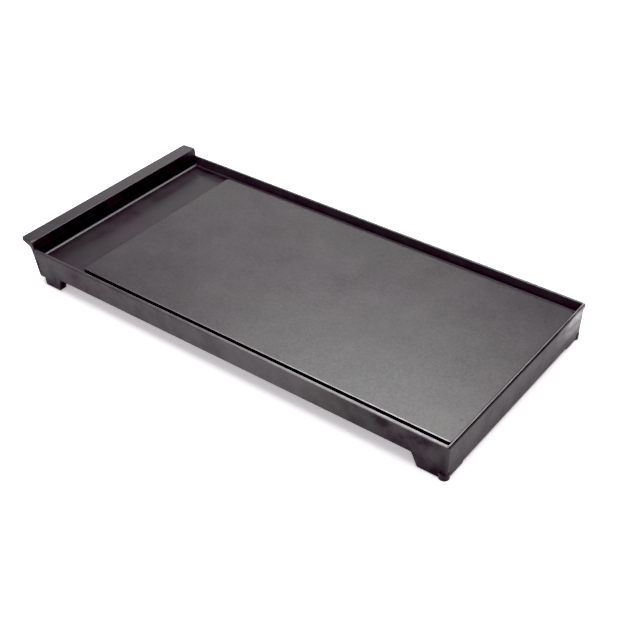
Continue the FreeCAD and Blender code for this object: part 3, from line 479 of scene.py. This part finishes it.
def make_materials():
    """One finished material for each slot of the record."""
    return {
        "coated_casting": coated_casting(),
        "coated_plate": coated_plate(),
        "dowel_steel": metal("dowel_steel", (0.55, 0.55, 0.56), 0.26, 900, 2),
        "sheath_steel": sheath_steel(),
        "magnesia": ceramic("magnesia", (0.82, 0.80, 0.76), (0.66, 0.63, 0.58)),
        "resistance_wire": metal("resistance_wire", (0.42, 0.40, 0.37), 0.4, 1200, 0),
        "pin_metal": metal("pin_metal", (0.72, 0.69, 0.63), 0.22, 1400, 1),
        "seal_ceramic": ceramic("seal_ceramic", (0.84, 0.81, 0.75), (0.68, 0.62, 0.54)),
        "clamp_steel": metal("clamp_steel", (0.50, 0.49, 0.47), 0.36, 700, 1),
        "screw_steel": metal("screw_steel", (0.58, 0.57, 0.53), 0.32, 1500, 2),
        "sensor_steel": metal("sensor_steel", (0.58, 0.58, 0.58), 0.3, 1100, 1),
        "shroud_plastic": shroud_plastic(),
        "shield_steel": metal("shield_steel", (0.64, 0.64, 0.63), 0.34, 500, 0),
        "cover_paint": cover_paint(),
        "label_aluminium": metal(
            "label_aluminium", (0.62, 0.62, 0.63), 0.3, 1600, 0, (0.95, 0.94, 0.93)
        ),
        "foot_rubber": foot_rubber(),
    }


MATERIALS = make_materials()


# ---------------------------------------------------------------- mesh helpers, in millimetres


def add_object(name, bm, slot, body):
    """A mesh object from bm with the finish of a material slot; it moves with a CAD body."""
    bmesh.ops.recalc_face_normals(bm, faces=bm.faces)
    bmesh.ops.scale(bm, vec=(MM, MM, MM), verts=bm.verts)
    mesh = bpy.data.meshes.new(name)
    bm.to_mesh(mesh)
    bm.free()
    mesh.materials.append(MATERIALS[slot])
    mesh.polygons.foreach_set("use_smooth", [True] * len(mesh.polygons))
    mesh.set_sharp_from_angle(angle=math.radians(38))
    made = bpy.data.objects.new(name, mesh)
    bpy.context.scene.collection.objects.link(made)
    flat = made.modifiers.new("flat_faces_stay_flat", "WEIGHTED_NORMAL")
    flat.keep_sharp = True
    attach(made, body)
    return made


def stitch(bm, rings):
    """Quads between closed rings of vertices that have the same count."""
    for ring, following in zip(rings, rings[1:]):
        count = len(ring)
        for k in range(count):
            after = (k + 1) % count
            bm.faces.new((ring[k], ring[after], following[after], following[k]))


def cap_ends(bm, rings):
    bm.faces.new(rings[0])
    bm.faces.new(rings[-1])


def smooth_step(value):
    value = min(max(value, 0.0), 1.0)
    return value * value * (3 - 2 * value)


def corner_arc(before, corner, after, radius, segments):
    """Points along the arc that rounds a corner of a flat outline."""
    corner = Vector(corner)
    to_before = (Vector(before) - corner).normalized()
    to_after = (Vector(after) - corner).normalized()
    half = to_before.angle(to_after) / 2
    centre = corner + (to_before + to_after).normalized() * radius / math.sin(half)
    start = corner + to_before * radius / math.tan(half) - centre
    end = corner + to_after * radius / math.tan(half) - centre
    first = math.atan2(start.y, start.x)
    turn = (math.atan2(end.y, end.x) - first + math.pi) % (2 * math.pi) - math.pi
    angles = [first + turn * k / segments for k in range(segments + 1)]
    return [centre + radius * Vector((math.cos(angle), math.sin(angle))) for angle in angles]


def rounded_outline(corners, segments=6, closed=True):
    """Points of an outline whose corners are given as (x, y, corner radius)."""
    count = len(corners)
    points = []
    for k, (x, y, radius) in enumerate(corners):
        is_end = not closed and k in (0, count - 1)
        if is_end or radius == 0:
            points.append(Vector((x, y)))
            continue
        before = corners[k - 1][:2]
        after = corners[(k + 1) % count][:2]
        points += corner_arc(before, (x, y), after, radius, segments)
    return points


def filled_in(line, step):
    """The same line with more points along its long runs."""
    points = [line[0]]
    for start, end in zip(line, line[1:]):
        pieces = max(1, int((end - start).length / step))
        points += [start.lerp(end, k / pieces) for k in range(1, pieces + 1)]
    return points


def inset_outline(points, inset):
    """A closed outline moved inwards."""
    count = len(points)
    area = sum(points[k].cross(points[(k + 1) % count]) for k in range(count))
    side = math.copysign(inset, area)
    moved = []
    for k, point in enumerate(points):
        along = (points[(k + 1) % count] - points[k - 1]).normalized()
        moved.append(point + Vector((-along.y, along.x)) * side)
    return moved


def lathe(bm, x, y, profile, segments=48):
    """A turned shape from a profile of (radius, z) that starts and ends on the axis."""
    rings = []
    for radius, z in profile:
        count = 1 if radius == 0 else segments
        angles = [2 * math.pi * k / count for k in range(count)]
        around = [(x + radius * math.cos(a), y + radius * math.sin(a), z) for a in angles]
        rings.append([bm.verts.new(place) for place in around])
    for ring, following in zip(rings, rings[1:]):
        for k in range(segments):
            after = k + 1
            corners = [ring[k % len(ring)], ring[after % len(ring)]]
            corners += [following[after % len(following)], following[k % len(following)]]
            bm.faces.new(list(dict.fromkeys(corners)))


def slab(bm, low, high, edge):
    """A block with every edge rounded, made of stacked rounded outlines."""
    rings = []
    levels = ((edge, low[2]), (0.3 * edge, low[2] + 0.3 * edge), (0, low[2] + edge))
    levels += tuple((inset, low[2] + high[2] - z) for inset, z in reversed(levels))
    for inset, z in levels:
        plan = (
            (low[0] + inset, low[1] + inset, edge),
            (high[0] - inset, low[1] + inset, edge),
            (high[0] - inset, high[1] - inset, edge),
            (low[0] + inset, high[1] - inset, edge),
        )
        rings.append([bm.verts.new((*point, z)) for point in rounded_outline(plan, 3)])
    stitch(bm, rings)
    cap_ends(bm, rings)


def prism_y(bm, outline, low, high, edge):
    """An outline in the XZ plane drawn out along Y, with rounded edges at both ends."""
    rings = []
    for inset, y in ((edge, low), (0, low + edge), (0, high - edge), (edge, high)):
        ring = inset_outline(outline, inset) if inset else outline
        rings.append([bm.verts.new((point.x, y, point.y)) for point in ring])
    stitch(bm, rings)
    cap_ends(bm, rings)


def sweep_rib(bm, path):
    """The upright rib of the element's bed under the floor, along a path in plan."""
    low = ELEMENT_AXIS
    high = FLOOR_UNDERSIDE + 0.2
    rings = []
    for k, point in enumerate(path):
        along = (path[min(k + 1, len(path) - 1)] - path[max(k - 1, 0)]).normalized()
        across = Vector((-along.y, along.x)) * BED_HALF_WIDTH
        left = point + across
        right = point - across
        corners = ((*right, low), (*left, low), (*left, high), (*right, high))
        rings.append([bm.verts.new(place) for place in corners])
    stitch(bm, rings)
    cap_ends(bm, rings)


# ---------------------------------------------------------------- tray: front, right and back walls


def lower_edge(with_port):
    """The front or back skirt's lower edge, as (x, z), from the end wall to the right corner."""
    start_top, start, end, end_top = LEFT_FOOT
    slope_top, slope = RIGHT_FOOT
    corners = [
        (WALL_START, END_WALL_BOTTOM, 0),
        (start_top, END_WALL_BOTTOM, 0.8),
        (start, FOOT_BOTTOM, 0.3),
        (end, FOOT_BOTTOM, 0.3),
        (end_top, SKIRT_BOTTOM, 1.2),
    ]
    if with_port:
        left, right = PORT
        corners += [
            (left, SKIRT_BOTTOM, 0),
            (left + 0.02, FLOOR_UNDERSIDE, 0),
            (right - 0.02, FLOOR_UNDERSIDE, 0),
            (right, SKIRT_BOTTOM, 0),
        ]
    corners += [
        (slope_top, SKIRT_BOTTOM, 3.0),
        (slope, FOOT_BOTTOM, 0.8),
        (POCKET[0], FOOT_BOTTOM, 0),
        (POCKET[0] + 0.02, POCKET_TOP, 0),
        (RIGHT_WALL - WALL_CORNER, POCKET_TOP, 0),
    ]
    return filled_in(rounded_outline(corners, 4, closed=False), WALL_STEP)


def side_lower_edge():
    """The right wall's lower edge, as (y, z), from the front corner to the back corner."""
    half = [
        (HALF_DEPTH - WALL_CORNER, POCKET_TOP, 0),
        (POCKET[1] + 0.02, POCKET_TOP, 0),
        (POCKET[1], FOOT_BOTTOM, 0),
        (SIDE_FOOT[1], FOOT_BOTTOM, 0.5),
        (SIDE_FOOT[0], RIGHT_WALL_BOTTOM, 0.5),
    ]
    corners = [(-y, z, radius) for y, z, radius in half] + half[::-1]
    return filled_in(rounded_outline(corners, 4, closed=False), WALL_STEP)


def corner_stations(side):
    """Stations round the right end's front corner, -1, or back corner, 1."""
    steps = 8
    stations = []
    for k in range(1, steps):
        turn = math.radians(90 * k / steps)
        out = (math.sin(turn), -math.cos(turn)) if side < 0 else (math.cos(turn), math.sin(turn))
        x = RIGHT_WALL - WALL_CORNER + WALL_CORNER * out[0]
        y = side * (HALF_DEPTH - WALL_CORNER) + WALL_CORNER * out[1]
        stations.append((x, y, *out, POCKET_TOP))
    return stations


def wall_stations():
    """Places round the three walls: x, y, outward direction, height of the lower edge."""
    stations = [(x, -HALF_DEPTH, 0, -1, z) for x, z in lower_edge(False)]
    stations += corner_stations(-1)
    stations += [(RIGHT_WALL, y, 1, 0, z) for y, z in side_lower_edge()]
    stations += corner_stations(1)
    stations += [(x, HALF_DEPTH, 0, 1, z) for x, z in reversed(lower_edge(True))]
    return stations


def draft(z):
    """How far the drafted outer wall stands in from the rim's outer line at a height."""
    return WALL_DRAFT * (RIM_TOP - z)


def wall_section(lower, lip, groove):
    """The wall's section as (outward offset, z): skirt, outer face, lip, crown, floor fillet."""
    points = [(-SKIRT_INSET, lower + 0.4), (-SKIRT_INSET + 0.4, lower)]
    points += [(-draft(lower) - 0.5, lower), (-draft(lower) - 0.15, lower + 0.12)]
    points += [(-draft(z), z) for z in (lower + 0.5, 36.4)]
    points += [(-draft(37.3), 37.3), (-draft(37.4) - 0.2, 37.5), (-draft(38) - 0.25, 38.1)]
    lip_line = ((0.5, 38.2), (0.85, 38.4), (1.0, 38.9), (1.0, 39.8), (0.9, 40.2), (0.62, 40.5))
    points += [(out * lip - (1 - lip) * 0.1, z) for out, z in lip_line]
    points += [(0.15, 40.72), (-0.1, 40.8), (-0.35, 40.86 - groove), (-0.7, 40.9 - groove)]
    points += [(-0.95, 40.95), (-1.6, RIM_TOP), (-2.2, RIM_TOP), (-RIM_INSET, RIM_TOP - 0.1)]
    inner_foot = RIM_INSET + 0.35
    for k in range(7):
        turn = math.radians(90 * k / 6)
        out = -inner_foot - FLOOR_FILLET * (1 - math.cos(turn))
        points.append((out, FLOOR_TOP + FLOOR_FILLET * (1 - math.sin(turn))))
    points.append((-SKIRT_INSET, FLOOR_UNDERSIDE))
    return points


def tray_walls(bm):
    """The walls, swept round the tray; both ends lean into the end wall."""
    rings = []
    for x, y, out_x, out_y, lower in wall_stations():
        from_start = x - WALL_START
        lip = LIP_SHARE + (1 - LIP_SHARE) * smooth_step(from_start / LIP_RUN)
        groove = RIM_GROOVE * max(out_x, 0) ** 2
        start_lean = WALL_START_LEAN if from_start < 0.01 else 0.0
        ring = []
        for out, z in wall_section(lower, lip, groove):
            lean = start_lean * (z - END_WALL_BOTTOM) / (RIM_TOP - END_WALL_BOTTOM)
            if out_x and out_y:
                out = max(out, 0.05 - WALL_CORNER)
            ring.append(bm.verts.new((x + out * out_x - lean, y + out * out_y, z)))
        rings.append(ring)
    stitch(bm, rings)
    cap_ends(bm, rings)


# ---------------------------------------------------------------- tray: end wall and handle flange


def end_section(shoulder):
    """The end wall and flange as (x, z), with the radius of the flange's inner top edge."""
    corners = (
        (END_WALL_FOOT + 3.0, FLOOR_TOP - 0.5, 0),
        (END_WALL_FOOT + FLOOR_FILLET, FLOOR_TOP, 0),
        (END_WALL_FOOT, FLOOR_TOP, 0.9 * FLOOR_FILLET),
        (END_WALL_TOP, FLANGE_TOP, shoulder),
        (FLANGE_TIP, FLANGE_TOP, FLANGE_EDGE),
        (FLANGE_TIP, FLANGE_TOP - FLANGE_THICKNESS, FLANGE_EDGE),
        (END_WALL - 4.5, FLANGE_TOP - 6.4, 4.0),
        (END_WALL - 2.3, FLANGE_TOP - 12.5, 8.0),
        (END_WALL + 3.6, END_WALL_BOTTOM, 2.2),
        (END_WALL_FOOT + 3.0, END_WALL_BOTTOM, 0),
    )
    return rounded_outline(corners, 6)


def end_reach(x, z):
    """How far the end wall and flange reach along Y, with the flange's plan corners rounded."""
    reach = HALF_DEPTH - draft(z)
    into_corner = FLANGE_CORNER - (x - FLANGE_TIP)
    if into_corner > 0:
        reach -= FLANGE_CORNER - math.sqrt(FLANGE_CORNER**2 - min(into_corner, FLANGE_CORNER) ** 2)
    return reach


def end_wall(bm):
    """The end wall with its handle flange, lofted along Y; its shoulders round down to the rim."""
    straight = HALF_DEPTH - END_WALL_SHOULDER_LENGTH
    shoulder, end_shoulder = END_WALL_SHOULDERS
    edge = END_WALL_EDGE
    half = []
    for share, inset in ((0.25, 0), (0.5, 0), (0.75, 0), (1.0, 0), (1.0, 0.3 * edge), (1.0, edge)):
        outline = end_section(shoulder + (end_shoulder - shoulder) * smooth_step(share))
        moved = inset_outline(outline, inset) if inset else outline
        ring = []
        for point in moved:
            reach = end_reach(point.x, point.y) - (edge - inset)
            ring.append((point.x, straight + share * (reach - straight), point.y))
        half.append(ring)
    outline = end_section(shoulder)
    middle = [[(point.x, straight * k / 8, point.y) for point in outline] for k in range(-8, 9)]
    layout = [[(x, -y, z) for x, y, z in ring] for ring in reversed(half)] + middle + half
    rings = [[bm.verts.new(place) for place in ring] for ring in layout]
    stitch(bm, rings)
    cap_ends(bm, rings)


# ---------------------------------------------------------------- tray: floor, lugs and underside


def element_plan():
    """The heating element's centre line in plan, from one terminal round the loop to the other."""
    left, right = ELEMENT_LOOP
    half = ELEMENT_HALF_LOOP
    corners = (
        (SOCKET_X + TERMINAL_SPREAD, TERMINAL_END, 0),
        (SOCKET_X + TERMINAL_SPREAD, half, TERMINAL_BEND),
        (right, half, ELEMENT_BEND),
        (right, -half, ELEMENT_BEND),
        (left, -half, ELEMENT_BEND),
        (left, half, ELEMENT_BEND),
        (SOCKET_X - TERMINAL_SPREAD, half, TERMINAL_BEND),
        (SOCKET_X - TERMINAL_SPREAD, TERMINAL_END, 0),
    )
    return rounded_outline(corners, 12, closed=False)


def clamp_screws():
    """Places of the element clamps' and the sensor clip's screws."""
    offsets = (-CLAMP_SCREW_OFFSET, CLAMP_SCREW_OFFSET)
    legs = [(x, side * ELEMENT_HALF_LOOP) for x in CLAMPS for side in (-1, 1)]
    legs.pop()  # the terminals take the last place
    places = [(x, y + offset) for x, y in legs for offset in offsets]
    places += [(x + offset, 0.0) for x in ELEMENT_LOOP for offset in offsets]
    return places + [(SOCKET_X + offset, SENSOR_CLIP_Y) for offset in offsets]


def underside_posts(bm):
    """Screw posts and dowel bosses under the floor, each with a turned lower edge."""
    root = FLOOR_UNDERSIDE + 0.2
    shield_x = (-110.0, 36.1, 200.2)
    cover_x = (COVER_LOW.x + 12, (COVER_LOW.x + COVER_HIGH.x) / 2, COVER_HIGH.x - 12)
    cover_y = (COVER_LOW.y + 10, COVER_HIGH.y - 10)
    socket_x = (SOCKET_X - 33, SOCKET_X + 33)
    posts = [(x, y, CLAMP_POST) for x, y in clamp_screws()]
    posts += [(x, y, SCREW_POST) for x in shield_x for y in (-28.0, 28.0)]
    posts += [(x, y, COVER_POST) for x in cover_x for y in cover_y]
    posts += [(x, 112.0, SCREW_POST) for x in socket_x]
    posts += [(x, y, DOWEL_BOSS) for x, y in DOWELS]
    for x, y, (radius, low) in posts:
        foot = ((0, low), (radius - 0.4, low), (radius, low + 0.4), (radius, FLOOR_UNDERSIDE - 0.8))
        flare = ((radius + 0.8, FLOOR_UNDERSIDE), (radius + 0.8, root), (0, root))
        lathe(bm, x, y, foot + flare, 32)


def tray_lugs(bm):
    """Solid corners behind the skirt that carry the four feet."""
    start_top, start, end, end_top = LEFT_FOOT
    root = FLOOR_UNDERSIDE + 0.5
    places = (
        (start + 0.1, FOOT_BOTTOM + 0.02),
        (start_top + 0.1, END_WALL_BOTTOM),
        (start_top + 0.1, root),
        (end_top - 0.1, root),
        (end_top - 0.1, SKIRT_BOTTOM),
        (end - 0.1, FOOT_BOTTOM + 0.02),
    )
    outline = [Vector(place) for place in places]
    outside = HALF_DEPTH - draft(0)
    for side in (-1, 1):
        low, high = sorted((side * (outside - LEFT_FOOT_DEPTH), side * (outside - 1.0)))
        prism_y(bm, outline, low, high, 0.4)
        low, high = sorted((side * LUG_START[1], side * (outside - 0.1)))
        far_corner = (RIGHT_WALL - draft(0) - 0.1, high, root)
        slab(bm, (LUG_START[0], low, FOOT_BOTTOM), far_corner, 0.5)


def tray_floor(bm):
    """The floor between the walls, very slightly uneven as cast."""
    low = Vector((END_WALL_FOOT + FLOOR_FILLET - 0.1, -HALF_DEPTH + SKIRT_INSET - 0.1))
    high = Vector((RIGHT_WALL - SKIRT_INSET + 0.1, HALF_DEPTH - SKIRT_INSET + 0.1))
    columns, rows = 64, 32
    sheets = []
    for z, unevenness in ((FLOOR_TOP, 0.03), (FLOOR_UNDERSIDE, 0.0)):
        sheet = []
        for row in range(rows + 1):
            line = []
            for column in range(columns + 1):
                x = low.x + (high.x - low.x) * column / columns
                y = low.y + (high.y - low.y) * row / rows
                is_inside = 0 < row < rows and 0 < column < columns
                rise = unevenness * noise.noise(Vector((x, y, 0)) * 0.02) if is_inside else 0.0
                line.append(bm.verts.new((x, y, z + rise)))
            sheet.append(line)
        for line, following in zip(sheet, sheet[1:]):
            for k in range(columns):
                bm.faces.new((line[k], line[k + 1], following[k + 1], following[k]))
        sheets.append(border(sheet))
    stitch(bm, sheets)


def border(rows):
    """The outer loop of a grid of vertices."""
    loop = list(rows[0])
    loop += [row[-1] for row in rows[1:]]
    loop += rows[-1][-2::-1]
    loop += [row[0] for row in rows[-2:0:-1]]
    return loop


def cast_tray():
    """The casting: walls, end wall with flange, floor, foot lugs, element bed and posts."""
    bm = bmesh.new()
    tray_walls(bm)
    end_wall(bm)
    tray_floor(bm)
    tray_lugs(bm)
    sweep_rib(bm, element_plan())
    sweep_rib(bm, [Vector((SOCKET_X, y)) for y in SENSOR_BED])
    underside_posts(bm)
    tray = add_object("cast_tray", bm, "coated_casting", "base")
    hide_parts("tray_casting")


# ---------------------------------------------------------------- cooking plate


def grid_lines(low, high, dowels):
    """Positions along one side: close in the corners, and a line each side of every dowel."""
    corner = [PLATE_CORNER * share for share in (0, 0.2, 0.4, 0.6, 0.8, 1.0)]
    stops = [low + PLATE_CORNER, high - PLATE_CORNER]
    stops += [place + side for place in dowels for side in (-DOWEL_CELL, DOWEL_CELL)]
    stops.sort()
    lines = [low + step for step in corner]
    for start, end in zip(stops, stops[1:]):
        pieces = max(1, round((end - start) / PLATE_CELL))
        lines += [start + (end - start) * k / pieces for k in range(1, pieces + 1)]
    return lines[:-1] + [high - step for step in reversed(corner)]


def rounded_corner(x, y, low, high, radius):
    """Moves a grid point of a rectangle so that the rectangle's corners are round."""
    centre_x = min(max(x, low[0] + radius), high[0] - radius)
    centre_y = min(max(y, low[1] + radius), high[1] - radius)
    dx = x - centre_x
    dy = y - centre_y
    if abs(dx) < 1e-9 or abs(dy) < 1e-9:
        return x, y
    reach = max(abs(dx), abs(dy))
    turn = math.radians(45) * min(abs(dx), abs(dy)) / reach
    far, near = reach * math.cos(turn), reach * math.sin(turn)
    out_x, out_y = (far, near) if abs(dx) >= abs(dy) else (near, far)
    return centre_x + math.copysign(out_x, dx), centre_y + math.copysign(out_y, dy)


def plate_sheet(bm, xs, ys, inset, height):
    """A grid over the whole plate, drawn in by an inset; height is a function of x and y."""
    middle = (SHEET_LOW + SHEET_HIGH) / 2
    half = (SHEET_HIGH - SHEET_LOW) / 2
    rows = []
    for y in ys:
        row = []
        for x in xs:
            px, py = rounded_corner(x, y, SHEET_LOW, SHEET_HIGH, PLATE_CORNER)
            px = middle.x + (px - middle.x) * (half.x - inset) / half.x
            py = middle.y + (py - middle.y) * (half.y - inset) / half.y
            row.append(bm.verts.new((px, py, height(px, py))))
        rows.append(row)
    return rows


def dowel_socket(bm, square, x, y, low):
    """A blind round hole in the middle of a square gap, whose corners are given in turn."""
    segments = 32
    per_side = segments // 4
    around = []
    for k in range(segments):
        angle = math.radians(225 + 360 * k / segments)
        across = DOWEL_SOCKET_RADIUS * math.cos(angle)
        around.append((x + across, y + DOWEL_SOCKET_RADIUS * math.sin(angle)))
    lower = [bm.verts.new((*place, low)) for place in around]
    upper = [bm.verts.new((*place, low + DOWEL_SOCKET_DEPTH)) for place in around]
    for k in range(segments):
        side, step = divmod(k, per_side)
        corner = square[side]
        next_corner = square[(side + 1) % 4]
        nearest = next_corner if step > per_side / 2 else corner
        bm.faces.new((nearest, lower[k], lower[(k + 1) % segments]))
        if step == per_side / 2:
            bm.faces.new((corner, next_corner, lower[k]))
    stitch(bm, [lower, upper])
    bm.faces.new(upper)


def dowel_cells(xs, ys):
    """The cells of the plate's grid that hold a dowel: (row, column) and the dowel's place."""
    cells = {}
    for x, y in DOWELS:
        column = max(k for k, line in enumerate(xs) if line < x)
        row = max(k for k, line in enumerate(ys) if line < y)
        cells[row, column] = (x, y)
    return cells


def top_height(x, y):
    """The plate's top, uneven by a few hundredths of a millimetre."""
    return PLATE_HIGH.z - 0.02 + 0.02 * noise.noise(Vector((x, y, 0)) * 0.014)


def rolled_edge(bm, xs, ys):
    """Loops round the plate's edge, from just under its top to the underside's chamfer."""
    loops = []
    for turn in (22.5, 45, 67.5, 90):
        inset = PLATE_ROLL * (1 - math.sin(math.radians(turn)))
        drop = PLATE_ROLL * (1 - math.cos(math.radians(turn)))
        edge = plate_sheet(bm, xs, ys, inset, lambda x, y: PLATE_HIGH.z - drop)
        loops.append(border(edge))
    loops.append(border(plate_sheet(bm, xs, ys, 0, lambda x, y: PLATE_LOW.z + PLATE_CHAMFER)))
    return loops


def griddle_plate():
    """The lift-out plate: rolled top edge, chamfered underside with a socket over each dowel."""
    xs = grid_lines(SHEET_LOW.x, SHEET_HIGH.x, {x for x, y in DOWELS})
    ys = grid_lines(SHEET_LOW.y, SHEET_HIGH.y, {y for x, y in DOWELS})
    bm = bmesh.new()
    top = plate_sheet(bm, xs, ys, PLATE_ROLL, top_height)
    bottom = plate_sheet(bm, xs, ys, PLATE_CHAMFER, lambda x, y: PLATE_LOW.z)
    sockets = dowel_cells(xs, ys)
    for rows in (top, bottom):
        for r in range(len(ys) - 1):
            for c in range(len(xs) - 1):
                cell = (rows[r][c], rows[r][c + 1], rows[r + 1][c + 1], rows[r + 1][c])
                if rows is bottom and (r, c) in sockets:
                    dowel_socket(bm, cell, *sockets[r, c], PLATE_LOW.z)
                else:
                    bm.faces.new(cell)
    stitch(bm, [border(top), *rolled_edge(bm, xs, ys), border(bottom)])
    # The edge's sheets lend only their borders, so their inner points go.
    loose = [vert for vert in bm.verts if not vert.link_faces]
    bmesh.ops.delete(bm, geom=loose, context="VERTS")
    plate = add_object("griddle_plate", bm, "coated_plate", "plate")
    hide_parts("cooking_plate")


# ---------------------------------------------------------------- feet


def button_profile():
    """A button's half outline as (radius, z): hollow base, straight side, domed shoulder."""
    radius = BUTTON_RADIUS
    profile = [(0, 0.25), (radius - 2.0, 0.25), (radius - 1.5, 0), (radius - 0.6, 0)]
    profile += [(radius - 0.15, 0.15), (radius, 0.6)]
    for turn in range(0, 91, 15):
        inward = BUTTON_SHOULDER * (1 - math.cos(math.radians(turn)))
        down = BUTTON_SHOULDER * (1 - math.sin(math.radians(turn)))
        profile.append((radius - inward, BUTTON_TOP - down))
    return profile + [(0, BUTTON_TOP)]


def corner_buttons():
    """Turned rubber buttons under the right-hand corners."""
    for name, side in (("front", -1), ("back", 1)):
        bm = bmesh.new()
        lathe(bm, BUTTON[0], side * BUTTON[1], button_profile(), 64)
        button = add_object(f"button_{name}_right", bm, "foot_rubber", "base")
        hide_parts(f"{name}_right_foot")


def left_pads():
    """Flat rubber pads under the left-hand feet, set into the casting's foot sockets."""
    for name in ("front", "back"):
        low, high = box_mm(f"{name}_left_foot")
        bm = bmesh.new()
        slab(bm, low, (high.x, high.y, FOOT_BOTTOM + 0.3), 0.35)
        pad = add_object(f"pad_{name}_left", bm, "foot_rubber", "base")
        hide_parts(f"{name}_left_foot")


# ---------------------------------------------------------------- carried-over CAD nodes


def finish_cad_nodes():
    """Gives every CAD node its finish."""
    for obj in NODES.values():
        for slot in obj.material_slots:
            slot.material = MATERIALS[slot.material.name.split(".")[0]]


# ---------------------------------------------------------------- studio


CAMERA_PLACE = (0.5908, -0.7540, 0.6949)
CAMERA_HEADING = 37.09
CAMERA_DOWN = 36.19
CAMERA_ROLL = -0.356
CAMERA_LENS = 66.45
CAMERA_AZIMUTH = -52  # of the camera from the middle of the griddle
WORLD_LIGHT = 0.28
WORLD_FRONT = 1.0
FLOOR_SIZE = 30.0
FLOOR_GLOW = 0.36
BLACK_LEVEL = (0.0125, 0.0172, 0.0140)


def studio_floor():
    """White paper that glows a little, so that shadows on it stay pale."""
    bm = bmesh.new()
    bmesh.ops.create_grid(bm, x_segments=40, y_segments=40, size=FLOOR_SIZE)
    paper = Shader("floor_paper")
    paper.set(Roughness=0.95, Specular_IOR_Level=0.0)
    paper.set(Emission_Color=(1.0, 0.955, 0.99, 1.0), Emission_Strength=FLOOR_GLOW)
    fibres = paper.ramp(paper.noise(30, 4, 0.6), 0.3, 0.7)
    paper.colour(paper.mix(fibres, (0.88, 0.88, 0.88), (0.90, 0.90, 0.90)))
    mesh = bpy.data.meshes.new("studio_floor")
    bm.to_mesh(mesh)
    bm.free()
    mesh.materials.append(paper.material)
    floor = bpy.data.objects.new("studio_floor", mesh)
    bpy.context.scene.collection.objects.link(floor)


def softbox(name, azimuth, elevation, distance, size, radiance):
    """A rectangular area light that faces the griddle from a direction given in degrees."""
    across = math.radians(azimuth)
    up = math.radians(elevation)
    flat = math.cos(up)
    direction = Vector((math.cos(across) * flat, math.sin(across) * flat, math.sin(up)))
    data = bpy.data.lights.new(name, "AREA")
    data.shape = "RECTANGLE"
    data.size, data.size_y = size
    data.energy = radiance * math.pi * size[0] * size[1]
    lamp = bpy.data.objects.new(name, data)
    lamp.location = direction * distance
    lamp.rotation_euler = (-direction).to_track_quat("-Z", "Y").to_euler()
    bpy.context.scene.collection.objects.link(lamp)


def studio_world():
    """Even white surroundings, brighter low on the camera's side to get light under the skirt."""
    world = bpy.data.worlds.new("studio")
    world.use_nodes = True
    tree = world.node_tree
    across = math.radians(CAMERA_AZIMUTH)
    toward = (math.cos(across), math.sin(across), 0)
    place = tree.nodes.new("ShaderNodeTexCoord").outputs["Generated"]
    facing = add_node(tree, "VectorMath", [(0, place), (1, toward)], operation="DOT_PRODUCT")
    height = add_node(tree, "SeparateXYZ", [("Vector", place)])
    front_range = [("Value", facing.outputs["Value"]), ("From Min", 0.0), ("From Max", 0.5)]
    low_range = [("Value", height.outputs["Z"]), ("From Min", 0.85), ("From Max", 0.6)]
    front = add_node(tree, "MapRange", front_range).outputs["Result"]
    low_down = add_node(tree, "MapRange", low_range).outputs["Result"]
    share = add_node(tree, "Math", [(0, front), (1, low_down)], operation="MULTIPLY").outputs[0]
    strength_range = [("Value", share), ("To Min", WORLD_LIGHT), ("To Max", WORLD_FRONT)]
    strength = add_node(tree, "MapRange", strength_range).outputs["Result"]
    background = tree.nodes["Background"]
    background.inputs["Color"].default_value = (1.0, 1.0, 1.0, 1)
    tree.links.new(strength, background.inputs["Strength"])
    bpy.context.scene.world = world


def studio_light():
    """White surroundings and three softboxes: one overhead and two behind the griddle."""
    studio_world()
    softbox("overhead", 122, 84, 2.4, (2.4, 2.0), 6.2)
    softbox("back_panel", 122, 53, 3.0, (1.1, 1.1), 9.8)
    softbox("low_back_panel", 131, 25, 3.0, (1.5, 0.7), 1.5)


def photo_camera():
    """The camera at the photograph's viewing angle."""
    data = bpy.data.cameras.new("camera")
    data.sensor_width = 36
    data.lens = CAMERA_LENS
    camera = bpy.data.objects.new("camera", data)
    bpy.context.scene.collection.objects.link(camera)
    heading = Matrix.Rotation(math.radians(CAMERA_HEADING), 4, "Z")
    tilt = Matrix.Rotation(math.radians(90 - CAMERA_DOWN), 4, "X")
    roll = Matrix.Rotation(math.radians(CAMERA_ROLL), 4, "Z")
    camera.matrix_world = Matrix.Translation(CAMERA_PLACE) @ heading @ tilt @ roll
    bpy.context.scene.camera = camera


def photo_tone():
    """Plain colour, with the darkest tones deepened to the photograph's near black."""
    settings = bpy.context.scene.view_settings
    settings.view_transform = "Standard"
    settings.use_curve_mapping = True
    settings.curve_mapping.black_level = BLACK_LEVEL
    settings.curve_mapping.update()


finish_cad_nodes()
cast_tray()
griddle_plate()
corner_buttons()
left_pads()
studio_floor()
studio_light()
photo_camera()
photo_tone()
